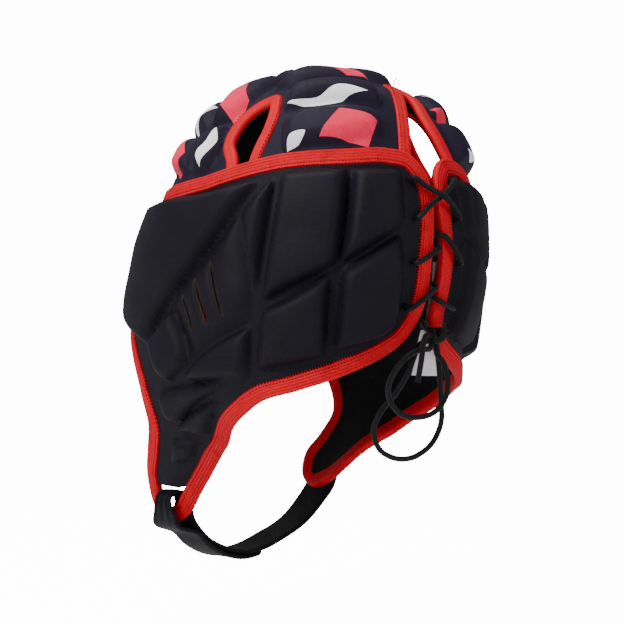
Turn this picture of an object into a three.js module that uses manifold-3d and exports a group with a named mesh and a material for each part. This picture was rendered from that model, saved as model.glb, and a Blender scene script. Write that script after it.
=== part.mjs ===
// Rugby scrum cap: two padded side panels laced together behind, a padded crown with three vents,
// stretch bindings, a round lace tied in a bow and a chin strap.
// Millimetres, +Z up, the face opening looks along -Y and the wearer's left side is +X.
// The origin is the inside of the crown's top, where a head carries the cap.
import * as THREE from "three";
import { ConvexGeometry } from "three/addons/geometries/ConvexGeometry.js";
import { TessellateModifier } from "three/addons/modifiers/TessellateModifier.js";
import { mergeVertices } from "three/addons/utils/BufferGeometryUtils.js";
import Module from "manifold-3d";

const wasm = await Module();
wasm.setup();

// The head that the cap is shaped on
const headWidth = 154; // inside, at ear level
const headLength = 197; // inside, at ear level
const crownHeight = 111; // from ear level to the inside of the crown's top

// Cloth, foam and tape
const gap = 0.3; // between pieces that touch
const panelMargin = 3; // sewn edge of a side panel, and the floor of its grooves
const panelPadHeight = 10.5; // from the head to the top of the thickest pad
const crownMargin = 2.5;
const crownPadHeight = 9;
const padFoot = 1; // depth of a pad's foot in the margin that carries it
const padRound = 1.2; // run of the steep part of a pad's flank
const padFlank = 4; // run of the whole flank
const padShoulder = 0.62; // share of the pad's height where the steep part ends
const slitWidth = 3;
const bindingWidth = 8.5;
const bindingThickness = 4.4;
const ventBindingWidth = 6.5;
const ventBindingThickness = 3.6;
const rightSag = 9.5; // degrees that the soft right side has slipped down at its top

// Lace, eyelets and knot
const laceDiameter = 3;
const laceSides = 8;
const eyeletDiameter = 4.4;
const eyeletInset = 3; // from the binding's edge to the middle of an eyelet
const knotDiameter = 11;

// Chin strap
const strapWidth = 24;
const strapThickness = 2.6;
const strapDrop = 32; // from the top of the chin loop's bar to the lowest point under the chin

// Care label inside the back
const labelWidth = 22;
const labelHeight = 26;
const labelThickness = 0.8;

// Sections of the head form: radii as shares of crownHeight, and how square the section is
const headSections = [
  { latitude: -75, back: 0.83, side: 0.95, front: 1.8, squareness: 4 },
  { latitude: -60, back: 0.83, side: 0.92, front: 1.44, squareness: 4 },
  { latitude: -45, back: 0.83, side: 0.855, front: 1.08, squareness: 3.6 },
  { latitude: -30, back: 0.81, side: 0.785, front: 1.01, squareness: 2.6 },
  { latitude: -15, back: 0.8, side: 0.71, front: 0.97, squareness: 2.4 },
  { latitude: 0, back: 0.865, side: 0.694, front: 0.91, squareness: 2.2 },
  { latitude: 15, back: 0.93, side: 0.71, front: 0.85, squareness: 2.2 },
  { latitude: 30, back: 1, side: 0.77, front: 0.79, squareness: 2.2 },
  { latitude: 45, back: 1.07, side: 0.85, front: 0.79, squareness: 2.2 },
  { latitude: 60, back: 1.09, side: 0.945, front: 0.85, squareness: 2.2 },
  { latitude: 75, back: 1.045, side: 1, front: 0.935, squareness: 2.2 },
  { latitude: 90, back: 1, side: 1, front: 1, squareness: 2.2 },
];

// Where the right side has slipped down: share of rightSag at each angle
const sagShares = [
  { angle: 0, share: 0 },
  { angle: 14, share: 0.25 },
  { angle: 30, share: 0.75 },
  { angle: 55, share: 1 },
  { angle: 90, share: 0.7 },
  { angle: 130, share: 0.15 },
  { angle: 180, share: 0 },
];

// A side panel's outline in degrees: angle from the middle of the back, latitude from ear level.
// It runs from the forehead's top round the back, the neck, the cheek flap and the face.
// The left flap ends in the longer tip that holds the chin strap's loop.
const panelOutline = {
  top: [
    [180, 37],
    [152, 36.5],
    [127, 37],
    [110, 39],
    [93, 41],
    [74, 43],
    [52, 43],
    [27, 40.3],
    [15, 39.5],
    [6, 37.3],
  ],
  lacing: [
    [1.2, 31],
    [1.2, 20],
    [2, 10],
    [2, 0],
    [2.8, -8],
  ],
  neck: [
    [6.5, -16],
    [14, -21.5],
    [28, -27],
    [44, -31.5],
    [57, -35],
    [67, -41],
  ],
  flap: [
    [75, -46.5],
    [85, -54],
    [98, -58.7],
    [112, -61.5],
  ],
  leftTip: [
    [125, -62.6],
    [134, -62.6],
    [140, -59.6],
    [142.5, -55],
    [139.5, -49.5],
  ],
  rightTip: [
    [123, -60.8],
    [130, -59],
    [136, -56.5],
    [139.5, -52],
    [138, -48],
  ],
  jawEdge: [[132.5, -45]],
  face: [
    [127, -40],
    [129, -32],
    [135, -24],
    [141, -17],
    [149, -10.5],
    [163, -6],
    [180, -4.5],
  ],
};
const stepsPerSpan = 2; // steps between two neighbouring points of the outline

// Moulded pads of a side panel: height as a share of panelPadHeight, corners in degrees
const panelPads = [
  { name: "forehead", height: 0.95, corners: [[151, 31], [178, 31.5], [178, 1.5], [154, -0.5]] },
  {
    name: "temple",
    height: 1,
    corners: [[60, 36], [128, 33], [139, 31], [147, -2], [142, -9], [131, -14.5], [122, -18]],
  },
  {
    name: "ear",
    height: 0.74,
    corners: [[66.5, 26.5], [100, -2], [99, -7], [92, -19.5], [88, -22.5], [62, -10], [60.5, 1]],
  },
  { name: "behind_ear", height: 0.95, corners: [[53, 35], [64, 26.5], [58.5, 3]] },
  { name: "upper_side", height: 1, corners: [[28.5, 34.5], [48.5, 36], [55, -2], [32.5, 9.5]] },
  { name: "upper_back", height: 1, corners: [[12.5, 33], [26, 34], [30, 10], [13, 19.5]] },
  {
    name: "lower_back",
    height: 1,
    corners: [[14, 16], [30, 6.5], [31.5, -18.5], [17, -13.5], [13, -9.5], [12.8, 10]],
  },
  { name: "lower_side", height: 1, corners: [[34.5, 5], [55.5, -7], [57.5, -25.5], [36, -20.5]] },
  { name: "under_ear", height: 0.86, corners: [[61.5, -13], [95, -30.5], [90, -31.5], [62.5, -28.5]] },
  {
    name: "cheek",
    height: 0.86,
    corners: [[103, -8], [119, -18.5], [112, -29], [107, -31], [94, -26], [95.5, -19]],
  },
  { name: "jaw", height: 0.68, corners: [[114, -34.5], [76, -33], [108, -43.5], [114, -42]] },
  { name: "lower_jaw", height: 0.62, corners: [[80, -38.5], [111, -46], [94, -49.5]] },
  { name: "chin", height: 0.5, corners: [[117, -48], [107, -51.5], [114, -54.5], [123, -52]] },
];

// Hearing slits through the ear pad: both ends in degrees
const earSlits = [
  { top: [93, -1], bottom: [87, -15] },
  { top: [86, 5], bottom: [79, -12.5] },
  { top: [78, 11.5], bottom: [71.5, -9.5] },
];

// Eyelets follow the lacing edge: the edge's angle at each one's latitude
const eyelets = [
  { edge: 1.2, latitude: 31 },
  { edge: 1.2, latitude: 21 },
  { edge: 2, latitude: 9 },
  { edge: 2.4, latitude: -4 },
];

// Cloth edges of the crown's vents, from the base over the top to the base, right side negative
const vents = [
  {
    name: "left_vent_binding",
    edges: [[75.5, 38], [77, 44], [82.5, 50], [83, 55], [79, 60.5], [70, 64.5], [57, 64.5],
      [54, 59], [55.5, 52], [59.5, 45], [61.5, 38]],
  },
  {
    name: "rear_vent_binding",
    edges: [[10.5, 33], [9.5, 39], [6.5, 46], [1, 53.5], [-9, 61], [-22, 66.5], [-30, 63.5],
      [-22, 57], [-13.5, 49], [-13, 42], [-15, 33]],
  },
  {
    name: "right_vent_binding",
    edges: [[-46, 30], [-46.5, 38], [-46, 46], [-45, 54], [-48, 61], [-60, 63.5], [-68, 60],
      [-72.5, 55], [-73, 48], [-70, 40], [-68, 30]],
  },
];

// Soft pads of the crown: height as a share of crownPadHeight, corners in degrees from the
// crown's top, to the left and to the back
const crownPads = [
  { name: "rear_left_big", height: 1, corners: [[12.5, 46], [24, 42], [36, 30.5], [28.5, 23.5], [9.5, 39]] },
  { name: "rear_left_upper", height: 0.9, corners: [[7.5, 37.2], [26.5, 21.8], [19.5, 16.5], [3, 30], [4, 34.5]] },
  { name: "top_left_rear", height: 0.9, corners: [[1.8, 28.4], [17.8, 15.2], [19, 9.5], [7, 7.5], [-3.5, 19.5]] },
  { name: "top_left", height: 0.95, corners: [[21, 6.5], [29.5, 3], [33, -6], [20, -9], [9.5, -2], [8.5, 5]] },
  { name: "left_side", height: 0.85, corners: [[31.5, 2.2], [42, 3.6], [46.8, 2], [46.5, -9], [35, -7.5]] },
  { name: "front_left_low", height: 0.9, corners: [[34.5, -9.6], [46.2, -11], [43, -22], [36, -31], [28, -24]] },
  { name: "front_left_high", height: 0.9, corners: [[31.5, -10], [26, -24.5], [17, -24], [10, -14], [20.5, -11]] },
  { name: "front_left_corner", height: 0.9, corners: [[16.5, -29], [25.5, -26.8], [34.5, -32.8], [28, -42], [18, -48], [15.6, -38]] },
  { name: "top_middle", height: 0.9, corners: [[6.3, 4.2], [7.8, -13.2], [0, -17], [-7.8, -13.2], [-7, 4.2]] },
  { name: "front_middle_high", height: 0.95, corners: [[7, -19.5], [15.5, -26.5], [13.5, -36], [-13.5, -36], [-15.5, -26.5], [-7, -19.5]] },
  { name: "front_middle_low", height: 0.85, corners: [[13.5, -38.3], [15.5, -48.8], [-15.5, -48.8], [-13.5, -38.3]] },
  { name: "top_right", height: 0.95, corners: [[-9, 5], [-10, -2.5], [-21, -9], [-32, -5], [-30, 7.5], [-20, 10]] },
  { name: "right_side", height: 0.85, corners: [[-32.3, 8], [-34.6, -6], [-52, -8.5], [-53.5, 3], [-50, 11], [-41, 9.8]] },
  { name: "front_right_low", height: 0.9, corners: [[-34.2, -8.5], [-52.3, -11], [-48, -24], [-38, -34], [-28, -25]] },
  { name: "front_right_high", height: 0.9, corners: [[-31.5, -10], [-26, -24.5], [-17, -24], [-10, -14], [-20.5, -11]] },
  { name: "front_right_corner", height: 0.9, corners: [[-16.5, -29], [-25.5, -26.8], [-35.5, -34.5], [-28, -43], [-18, -48.5], [-15.6, -38]] },
  { name: "rear_right_high", height: 1, corners: [[-15.2, 24.5], [-19.4, 21.5], [-30.5, 33], [-13.5, 37]] },
  { name: "rear_right_low", height: 1, corners: [[-13.2, 39.3], [-32, 34.8], [-38, 39.8], [-27, 48], [-15, 51.5]] },
  { name: "top_right_rear", height: 0.9, corners: [[-5.5, 18.5], [4.5, 6], [-6.5, 6.5], [-19.5, 12.3], [-19, 16.5], [-11, 20.5]] },
];

// Chin strap, from its sewn end on the right flap to the loop's bar on the left:
// place across as a share of the bar's own, drop below the bar as a share of strapDrop
const strapRun = [
  { across: -1.31, drop: -0.75 },
  { across: -1.27, drop: -0.41 },
  { across: -1.22, drop: -0.15 },
  { across: -1.08, drop: 0.11 },
  { across: -0.83, drop: 0.42 },
  { across: -0.515, drop: 0.67 },
  { across: -0.2, drop: 0.84 },
  { across: 0.12, drop: 0.89 },
  { across: 0.4, drop: 0.81 },
  { across: 0.615, drop: 0.64 },
  { across: 0.765, drop: 0.42 },
];
const strapLapEnd = 6; // the row under which the folded-back end stops

// The fold over the loop's bar, in millimetres out and up from the corners of the bar's section
const strapFold = [
  { corner: "footInside", out: -3.4, up: 0 },
  { corner: "topInside", out: -3.9, up: 3 },
  { corner: "topInside", out: -1.8, up: 6.5 },
  { corner: "topInside", out: 1.8, up: 7.7 },
  { corner: "topOutside", out: 1.8, up: 9.2 },
  { corner: "topOutside", out: 5, up: 7 },
  { corner: "topOutside", out: 4.9, up: 2.8 },
  { corner: "footOutside", out: 6.4, up: 4 },
  { corner: "footOutside", out: 3.6, up: -1.3 },
];
const barAngle = 137; // where the loop's bar is crossed
const strapForward = 3; // from the bar's crossing to the strap's middle
const foldBack = 1.4; // from the bar's crossing back to the middle of the gathered fold
const strapAtBar = 11; // width of the strap gathered in its loop
const foldDepth = 6; // from the bar's top corner down to where the gathered part begins to widen
const strapTaper = 20; // height over which it widens
const strapSteps = 56;

// The lace's way from the knot up one side, through the eyelets and down the other.
// A place is angle, latitude and lift from the head's surface; an eyelet is named by its side and
// row, and by whether the lace comes out of it or goes in.
const laceRoute = [
  [0.5, -9.3, 3.8], [0.9, -8.4, -0.3], [3.4, -7.4, -2.7],
  { side: "left", row: 3, way: "out" }, [1.3, 2, 7], [0.3, 2.5, 5], [-0.3, 2.9, -0.6], [-1.3, 3.4, -2.7],
  { side: "right", row: 2, way: "out" }, [-1.3, 16, 7], [-0.3, 16.5, 5], [0.3, 16.9, -0.6], [1.3, 17.4, -2.7],
  { side: "left", row: 1, way: "out" }, [4.5, 23.6, 6.8], [0, 26, 6.8], [-4.5, 28.4, 6.8],
  { side: "right", row: 0, way: "in" }, [0, 31.6, -2.9], { side: "left", row: 0, way: "out" },
  [5, 28.6, 8], [0, 26, 10.2], [-5, 23.6, 8], { side: "right", row: 1, way: "in" },
  [-1.3, 14.2, -2.7], [-0.3, 13.7, -0.6], [0.3, 13.3, 5], [1.3, 12.8, 7], { side: "left", row: 2, way: "in" },
  [1.3, -0.2, -2.7], [0.3, -0.6, -0.6], [-0.3, -1, 5], [-1.3, -1.4, 7], { side: "right", row: 3, way: "in" },
  [-4.8, -8, -2.8], [-2.4, -9.8, -2], [-1.9, -10.9, 1.2],
];
const laceOutside = 6.6; // lift of the lace over an eyelet
const laceInside = -2.6;

// The bow, in millimetres from the knot's middle
const smallLoop = [
  [4.2, 1.5, -3.8], [14, 3, -6.4], [23, 4, -9], [32, 4, -15.5], [37, 3, -24.5], [35, 2.6, -33], [27, 2.4, -39.5],
  [15, 2.4, -41.5], [3, 2.6, -39], [-4.6, 3, -32], [-5.8, 3.4, -23.5], [-3.2, 3.2, -14], [0.6, 1.4, -5.6],
];
const largeLoop = [
  [3.8, -3.6, -2.6], [9, -6.4, -10], [14, -6, -18.5], [23, -6, -29], [34, -6, -38.5], [39.5, -5.5, -47.5],
  [36, -5, -57], [25, -4.6, -62.5], [11, -4.6, -62.5], [-3, -4.8, -55.5], [-9.5, -5, -45], [-9.6, -5.2, -33],
  [-8, -4.6, -20.5], [-3.6, -2.4, -5],
];
const longTail = [[5.6, 1.6, 0.6], [14, 5.4, -2], [18, 7.8, -11], [20, 7, -23]];
const shortTail = [[-5.4, 2, 0.6], [-9, 3, 0], [-12.5, 3.6, -2.4]];
const knotPlace = { angle: -2.4, latitude: -12, lift: 11 };

// Care label: the middle of its top edge in degrees, on the inside of the right panel
const labelTop = [-10.2, -13.2];
const labelLean = 2.4; // degrees that its bottom swings to the right

const colours = {
  panel: { color: 0x1a1722, roughness: 0.85, metalness: 0 },
  crown: { color: 0x2a2433, roughness: 0.8, metalness: 0 },
  binding: { color: 0xe3101f, roughness: 0.7, metalness: 0 },
  lace: { color: 0x141416, roughness: 0.75, metalness: 0 },
  strap: { color: 0x101014, roughness: 0.9, metalness: 0 },
  label: { color: 0xe6e4ea, roughness: 0.6, metalness: 0 },
};

// Reading a value between the rows of a table, smoothly
function between(rows, key, column, at) {
  const last = rows.length - 1;
  const x = Math.min(Math.max(at, rows[0][key]), rows[last][key]);
  let i = 0;
  while (i < last - 1 && rows[i + 1][key] < x) i++;
  const slope = (k) => {
    const before = rows[Math.max(k - 1, 0)];
    const after = rows[Math.min(k + 1, last)];
    return k === last ? 0 : (after[column] - before[column]) / (after[key] - before[key]);
  };
  const span = rows[i + 1][key] - rows[i][key];
  const t = (x - rows[i][key]) / span;
  return (
    (2 * t ** 3 - 3 * t ** 2 + 1) * rows[i][column] +
    (t ** 3 - 2 * t ** 2 + t) * span * slope(i) +
    (3 * t ** 2 - 2 * t ** 3) * rows[i + 1][column] +
    (t ** 3 - t ** 2) * span * slope(i + 1)
  );
}

// Stretches that give the tabled form the head's named width and length
const earLevel = headSections.find((row) => row.latitude === 0);
const widthStretch = headWidth / (2 * earLevel.side * crownHeight);
const lengthStretch = headLength / ((earLevel.back + earLevel.front) * crownHeight);

// A place on the surface of the head form
function headSurface(angle, latitude) {
  const a = THREE.MathUtils.degToRad(angle);
  const l = THREE.MathUtils.degToRad(latitude);
  const read = (column) => between(headSections, "latitude", column, latitude);
  const power = read("squareness");
  const lengthways = Math.abs(Math.cos(a)) / read(Math.cos(a) >= 0 ? "back" : "front");
  const sideways = Math.abs(Math.sin(a)) / read("side");
  const radius = crownHeight / (lengthways ** power + sideways ** power) ** (1 / power);
  const way = new THREE.Vector3(Math.sin(a) * Math.cos(l), Math.cos(a) * Math.cos(l), Math.sin(l));
  const surface = way.clone().multiplyScalar(radius);
  return surface.multiply(new THREE.Vector3(widthStretch, lengthStretch, 1));
}

function outwards(angle, latitude) {
  const below = Math.min(latitude, 89);
  const perAngle = headSurface(angle + 0.5, below).sub(headSurface(angle - 0.5, below));
  const perLatitude = headSurface(angle, below + 0.5).sub(headSurface(angle, below - 0.5));
  return perLatitude.cross(perAngle).normalize();
}

// A place over the head form: lift is measured square to the head's surface
function headPoint(angle, latitude, lift = 0) {
  return headSurface(angle, latitude).addScaledVector(outwards(angle, latitude), lift);
}

// Moves a place sideways from its direction of travel, by millimetres on the form, to the right
// hand of someone walking on the outside
function beside([angle, latitude], [dAngle, dLatitude], distance) {
  const perAngle = headSurface(angle + 0.5, latitude).sub(headSurface(angle - 0.5, latitude));
  const perLatitude = headSurface(angle, latitude + 0.5).sub(headSurface(angle, latitude - 0.5));
  const travel = perAngle.clone().multiplyScalar(dAngle).addScaledVector(perLatitude, dLatitude);
  const side = travel.cross(outwards(angle, latitude)).setLength(Math.abs(distance));
  if (distance < 0) side.negate();
  const e = perAngle.dot(perAngle);
  const f = perAngle.dot(perLatitude);
  const g = perLatitude.dot(perLatitude);
  const a = side.dot(perAngle);
  const b = side.dot(perLatitude);
  const scale = e * g - f * f;
  return [angle + (a * g - b * f) / scale, latitude + (b * e - a * f) / scale];
}

// The whole line moved sideways. Both sides meet over the forehead, so a line's end there keeps
// to the middle.
function lineBeside(line, distance) {
  return line.map((place, i) => {
    const before = line[Math.max(i - 1, 0)];
    const after = line[Math.min(i + 1, line.length - 1)];
    const level = Math.abs(place[0]) === 180;
    const travel = [after[0] - before[0], level ? 0 : after[1] - before[1]];
    return beside(place, travel, distance);
  });
}

// A smooth line through hand-set points, with a few steps between two of them
function smoothLine(points, steps) {
  const curve = new THREE.CatmullRomCurve3(points.map(([x, y]) => new THREE.Vector3(x, y, 0)));
  return curve.getPoints(steps * (points.length - 1)).map((p) => [p.x, p.y]);
}

// The same place on the wearer's other side, where the soft cap has slipped down
function onRight([angle, latitude]) {
  const height = Math.min(Math.max(latitude / 40, 0), 1);
  return [-angle, latitude - rightSag * height * between(sagShares, "angle", "share", angle)];
}

// Flat charts of the form. The side chart is angle by latitude, seen from inside the head;
// the top chart looks down on the crown.
const sideChart = { fromInside: true, toFlat: (place) => place, toForm: (x, y) => [x, y] };
const topChart = {
  fromInside: false,
  toFlat: ([angle, latitude]) => {
    const a = THREE.MathUtils.degToRad(angle);
    return [(90 - latitude) * Math.sin(a), (90 - latitude) * Math.cos(a)];
  },
  toForm: (x, y) => [THREE.MathUtils.radToDeg(Math.atan2(x, y)), 90 - Math.hypot(x, y)],
};

function solidFrom(geometry) {
  const bare = new THREE.BufferGeometry();
  bare.setAttribute("position", geometry.getAttribute("position"));
  if (geometry.index) bare.setIndex(geometry.index);
  const closed = mergeVertices(bare, 1e-4);
  return new wasm.Manifold(
    new wasm.Mesh({
      numProp: 3,
      vertProperties: new Float32Array(closed.getAttribute("position").array),
      triVerts: new Uint32Array(closed.index.array),
    }),
  );
}

function geometryFrom(solid) {
  const { vertProperties, triVerts } = solid.getMesh();
  const geometry = new THREE.BufferGeometry();
  geometry.setAttribute("position", new THREE.BufferAttribute(new Float32Array(vertProperties), 3));
  geometry.setIndex(new THREE.BufferAttribute(new Uint32Array(triVerts), 1));
  return geometry;
}

// A flat slab of a chart, between two lifts
function slab(chart, places, low, high) {
  const shape = new THREE.Shape(places.map((place) => new THREE.Vector2(...chart.toFlat(place))));
  const geometry = new THREE.ExtrudeGeometry(shape, { depth: high - low, bevelEnabled: false });
  return solidFrom(geometry.translate(0, 0, low));
}

const shortTurn = (degrees) => ((degrees + 540) % 360) - 180;

// A pad's flat corners drawn in towards its middle by millimetres
function drawnIn(chart, corners, distance) {
  const middle = corners.reduce((sum, c) => sum.add(new THREE.Vector2(...c)), new THREE.Vector2());
  middle.divideScalar(corners.length);
  const lines = corners.map((corner, i) => {
    const next = corners[(i + 1) % corners.length];
    const travel = [next[0] - corner[0], next[1] - corner[1]];
    const half = [(corner[0] + next[0]) / 2, (corner[1] + next[1]) / 2];
    const from = chart.toForm(...half);
    const to = chart.toForm(half[0] + travel[0] / 50, half[1] + travel[1] / 50);
    const onForm = [shortTurn(to[0] - from[0]), to[1] - from[1]];
    const inside = [1, -1].map((way) => chart.toFlat(beside(from, onForm, way * distance)));
    const near = inside.sort(
      (p, q) => middle.distanceTo(new THREE.Vector2(...p)) - middle.distanceTo(new THREE.Vector2(...q)),
    )[0];
    return { at: near, travel };
  });
  return lines.map((line, i) => {
    const other = lines[(i + lines.length - 1) % lines.length];
    const cross = line.travel[0] * other.travel[1] - line.travel[1] * other.travel[0];
    const dx = other.at[0] - line.at[0];
    const dy = other.at[1] - line.at[1];
    const t = (dx * other.travel[1] - dy * other.travel[0]) / cross;
    return [line.at[0] + t * line.travel[0], line.at[1] + t * line.travel[1]];
  });
}

// A moulded pad: a steep flank, a rounded shoulder and a flat top
function padSolid(chart, corners, height) {
  const rings = [
    { places: corners, lift: padFoot },
    { places: drawnIn(chart, corners, padRound), lift: padShoulder * height },
    { places: drawnIn(chart, corners, padFlank), lift: height },
  ];
  const points = rings.flatMap(({ places, lift }) =>
    places.map((place) => new THREE.Vector3(...place, lift)),
  );
  return solidFrom(new ConvexGeometry(points));
}

// Lays a flat solid on the head form, in steps short enough to follow it
const padStep = 15; // degrees
const tapeStep = 15;
const labelStep = 6;
function onHead(chart, solid, longestStep) {
  const fine = new TessellateModifier(longestStep, 12).modify(geometryFrom(solid).toNonIndexed());
  const position = fine.getAttribute("position");
  for (let i = 0; i < position.count; i++) {
    const [angle, latitude] = chart.toForm(position.getX(i), position.getY(i));
    position.setXYZ(i, ...headPoint(angle, latitude, position.getZ(i)).toArray());
  }
  const geometry = new THREE.BufferGeometry();
  geometry.setAttribute("position", position);
  const laid = mergeVertices(geometry, 1e-4);
  if (chart.fromInside) laid.index.array.reverse();
  return laid;
}

const cap = new THREE.Group();
cap.position.z = -crownHeight;

function addPiece(name, geometry, colour) {
  geometry.computeVertexNormals();
  const mesh = new THREE.Mesh(geometry, new THREE.MeshStandardMaterial(colour));
  mesh.name = name;
  cap.add(mesh);
  return mesh;
}

// Outline of each side, walked from the forehead over the back: the left panel is on the right hand
function wholeEdge(tip) {
  const { top, lacing, neck, flap, jawEdge, face } = panelOutline;
  return smoothLine([...top, ...lacing, ...neck, ...flap, ...tip, ...jawEdge, ...face], stepsPerSpan);
}
const leftEdge = wholeEdge(panelOutline.leftTip);
const rightEdge = wholeEdge(panelOutline.rightTip).map(onRight);
const sides = [
  { name: "left", edge: leftEdge, inwards: 1, place: (p) => p },
  { name: "right", edge: rightEdge, inwards: -1, place: onRight },
];
const seamGap = gap / 2;

// A line shortened to end at the seam in the middle of the forehead
function toSeam(line) {
  const seam = 180 - THREE.MathUtils.radToDeg(seamGap / headPoint(180, 0).length());
  return line.map(([angle, latitude]) => [Math.sign(angle) * Math.min(Math.abs(angle), seam), latitude]);
}

// Through holes of a panel: hearing slits and eyelets
function slit(side, { top, bottom }) {
  const [from, to] = [side.place(top), side.place(bottom)];
  const travel = [to[0] - from[0], to[1] - from[1]];
  const along = (share) => [from[0] + share * travel[0], from[1] + share * travel[1]];
  const edgeOf = (way) => [0.2, 0.8].map((share) => beside(along(share), travel, (way * slitWidth) / 2));
  return [from, ...edgeOf(side.inwards), to, ...edgeOf(-side.inwards).reverse()];
}

function eyeletPlace(side, { edge, latitude }) {
  const distance = bindingWidth + gap + eyeletInset;
  return beside(side.place([edge, latitude]), [0, -1], side.inwards * distance);
}

function eyelet(side, row) {
  const middle = eyeletPlace(side, row);
  const corners = 8;
  return Array.from({ length: corners }, (_, i) => {
    const turn = (2 * Math.PI * (i + 0.5)) / corners;
    return beside(middle, [Math.cos(turn), Math.sin(turn)], eyeletDiameter / 2);
  });
}

function throughHoles(side) {
  const outlines = [...earSlits.map((row) => slit(side, row)), ...eyelets.map((row) => eyelet(side, row))];
  return outlines.map((outline) => slab(sideChart, outline, -1, panelPadHeight + 1));
}

// The left flap's cloth stops short of the binding, which leaves the loop for the chin strap
const flapCut = [[152, -45.5], [140, -50.8], [129, -57.2], [110, -66], [140, -75], [165, -60]];

function buildPanel(side) {
  const outline = toSeam(lineBeside(side.edge, side.inwards * (bindingWidth + gap)));
  const pads = panelPads.map(({ corners, height }) =>
    padSolid(sideChart, toSeam(corners.map(side.place)), height * panelPadHeight),
  );
  const cloth = slab(sideChart, outline, 0, panelMargin);
  const room = slab(sideChart, outline, 0, panelPadHeight + 1);
  const holes = throughHoles(side);
  if (side.name === "left") holes.push(slab(sideChart, flapCut, -1, panelPadHeight + 1));
  const moulded = wasm.Manifold.union([cloth, ...pads]).intersect(room);
  const panel = moulded.subtract(wasm.Manifold.union(holes));
  addPiece(side.name + "_panel", onHead(sideChart, panel, padStep), colours.panel);
}

// A strip of tape between a line and its copy moved sideways
function tape(chart, line, width, thickness, low = 0) {
  return slab(chart, [...line, ...lineBeside(line, width).reverse()], low, low + thickness);
}

// A ribbon laid on the form between two lines of equal count, both ends closed
function ribbon(left, right, thickness) {
  const rails = [
    left.map((p) => headPoint(...p, thickness)),
    right.map((p) => headPoint(...p, thickness)),
    right.map((p) => headPoint(...p)),
    left.map((p) => headPoint(...p)),
  ];
  const triangles = [];
  for (let i = 0; i < left.length - 1; i++) {
    rails.forEach((rail, r) => {
      const next = rails[(r + 1) % rails.length];
      triangles.push(rail[i], next[i], rail[i + 1], next[i], next[i + 1], rail[i + 1]);
    });
  }
  const last = left.length - 1;
  triangles.push(rails[0][0], rails[3][0], rails[1][0], rails[1][0], rails[3][0], rails[2][0]);
  triangles.push(rails[0][last], rails[1][last], rails[3][last], rails[1][last], rails[2][last], rails[3][last]);
  return mergeVertices(new THREE.BufferGeometry().setFromPoints(triangles), 1e-4);
}

function buildPanelBinding(side) {
  const outer = toSeam(side.edge);
  const inner = toSeam(lineBeside(side.edge, side.inwards * bindingWidth));
  const strip = side.name === "left" ? ribbon(outer, inner, bindingThickness) : ribbon(inner, outer, bindingThickness);
  addPiece(side.name + "_panel_binding", strip, colours.binding);
}

// The crown ends at the panels' top edge
function crownOutline() {
  const topSteps = stepsPerSpan * (panelOutline.top.length - 1) + 1;
  const left = lineBeside(leftEdge, -gap).slice(0, topSteps);
  const right = lineBeside(rightEdge, gap).slice(1, topSteps);
  return [...right.reverse(), ...left];
}

function ventLine(vent) {
  return smoothLine(vent.edges.map(([angle, latitude]) => topChart.toFlat([angle, latitude])), 2).map(
    ([x, y]) => topChart.toForm(x, y),
  );
}

function buildCrown() {
  const base = slab(topChart, crownOutline(), 0, crownMargin);
  const pads = crownPads.map(({ corners, height }) => padSolid(topChart, corners, height * crownPadHeight));
  const cuts = vents.map((vent) => slab(topChart, ventLine(vent), -1, crownPadHeight + 1));
  const room = slab(topChart, crownOutline(), 0, crownPadHeight + 1);
  const padded = wasm.Manifold.union([base, ...pads]).intersect(room);
  const crown = padded.subtract(wasm.Manifold.union(cuts));
  addPiece("crown", onHead(topChart, crown, padStep), colours.crown);
}

// A vent's binding follows its cloth edge and ends on the panels' top edge
function buildVentBinding(vent) {
  const line = ventLine(vent);
  const outer = lineBeside(line, gap);
  const strip = tape(topChart, outer, ventBindingWidth, ventBindingThickness);
  const within = slab(topChart, crownOutline(), -1, crownPadHeight + 1);
  addPiece(vent.name, onHead(topChart, strip.intersect(within), tapeStep), colours.binding);
}

// A line in the plane across the head, moved to its right by a distance
function planeBeside(line, distance) {
  return line.map((point, i) => {
    const travel = line[Math.min(i + 1, line.length - 1)].clone().sub(line[Math.max(i - 1, 0)]).normalize();
    return new THREE.Vector2(point.x + travel.y * distance, point.y - travel.x * distance);
  });
}

function smoothPlane(points, steps) {
  const curve = new THREE.CatmullRomCurve3(points.map((p) => new THREE.Vector3(p.x, p.y, 0)));
  return curve.getPoints(steps).map((p) => new THREE.Vector2(p.x, p.y));
}

// The loop's bar is the left flap's binding at its lowest
function barSection() {
  const nearest = leftEdge
    .filter(([, latitude]) => latitude < -50)
    .sort((p, q) => Math.abs(p[0] - barAngle) - Math.abs(q[0] - barAngle))[0];
  const i = leftEdge.indexOf(nearest);
  const travel = [leftEdge[i + 1][0] - leftEdge[i - 1][0], leftEdge[i + 1][1] - leftEdge[i - 1][1]];
  const inner = beside(nearest, travel, bindingWidth);
  return {
    topInside: headPoint(...inner),
    topOutside: headPoint(...inner, bindingThickness),
    footInside: headPoint(...nearest),
    footOutside: headPoint(...nearest, bindingThickness),
  };
}

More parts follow.
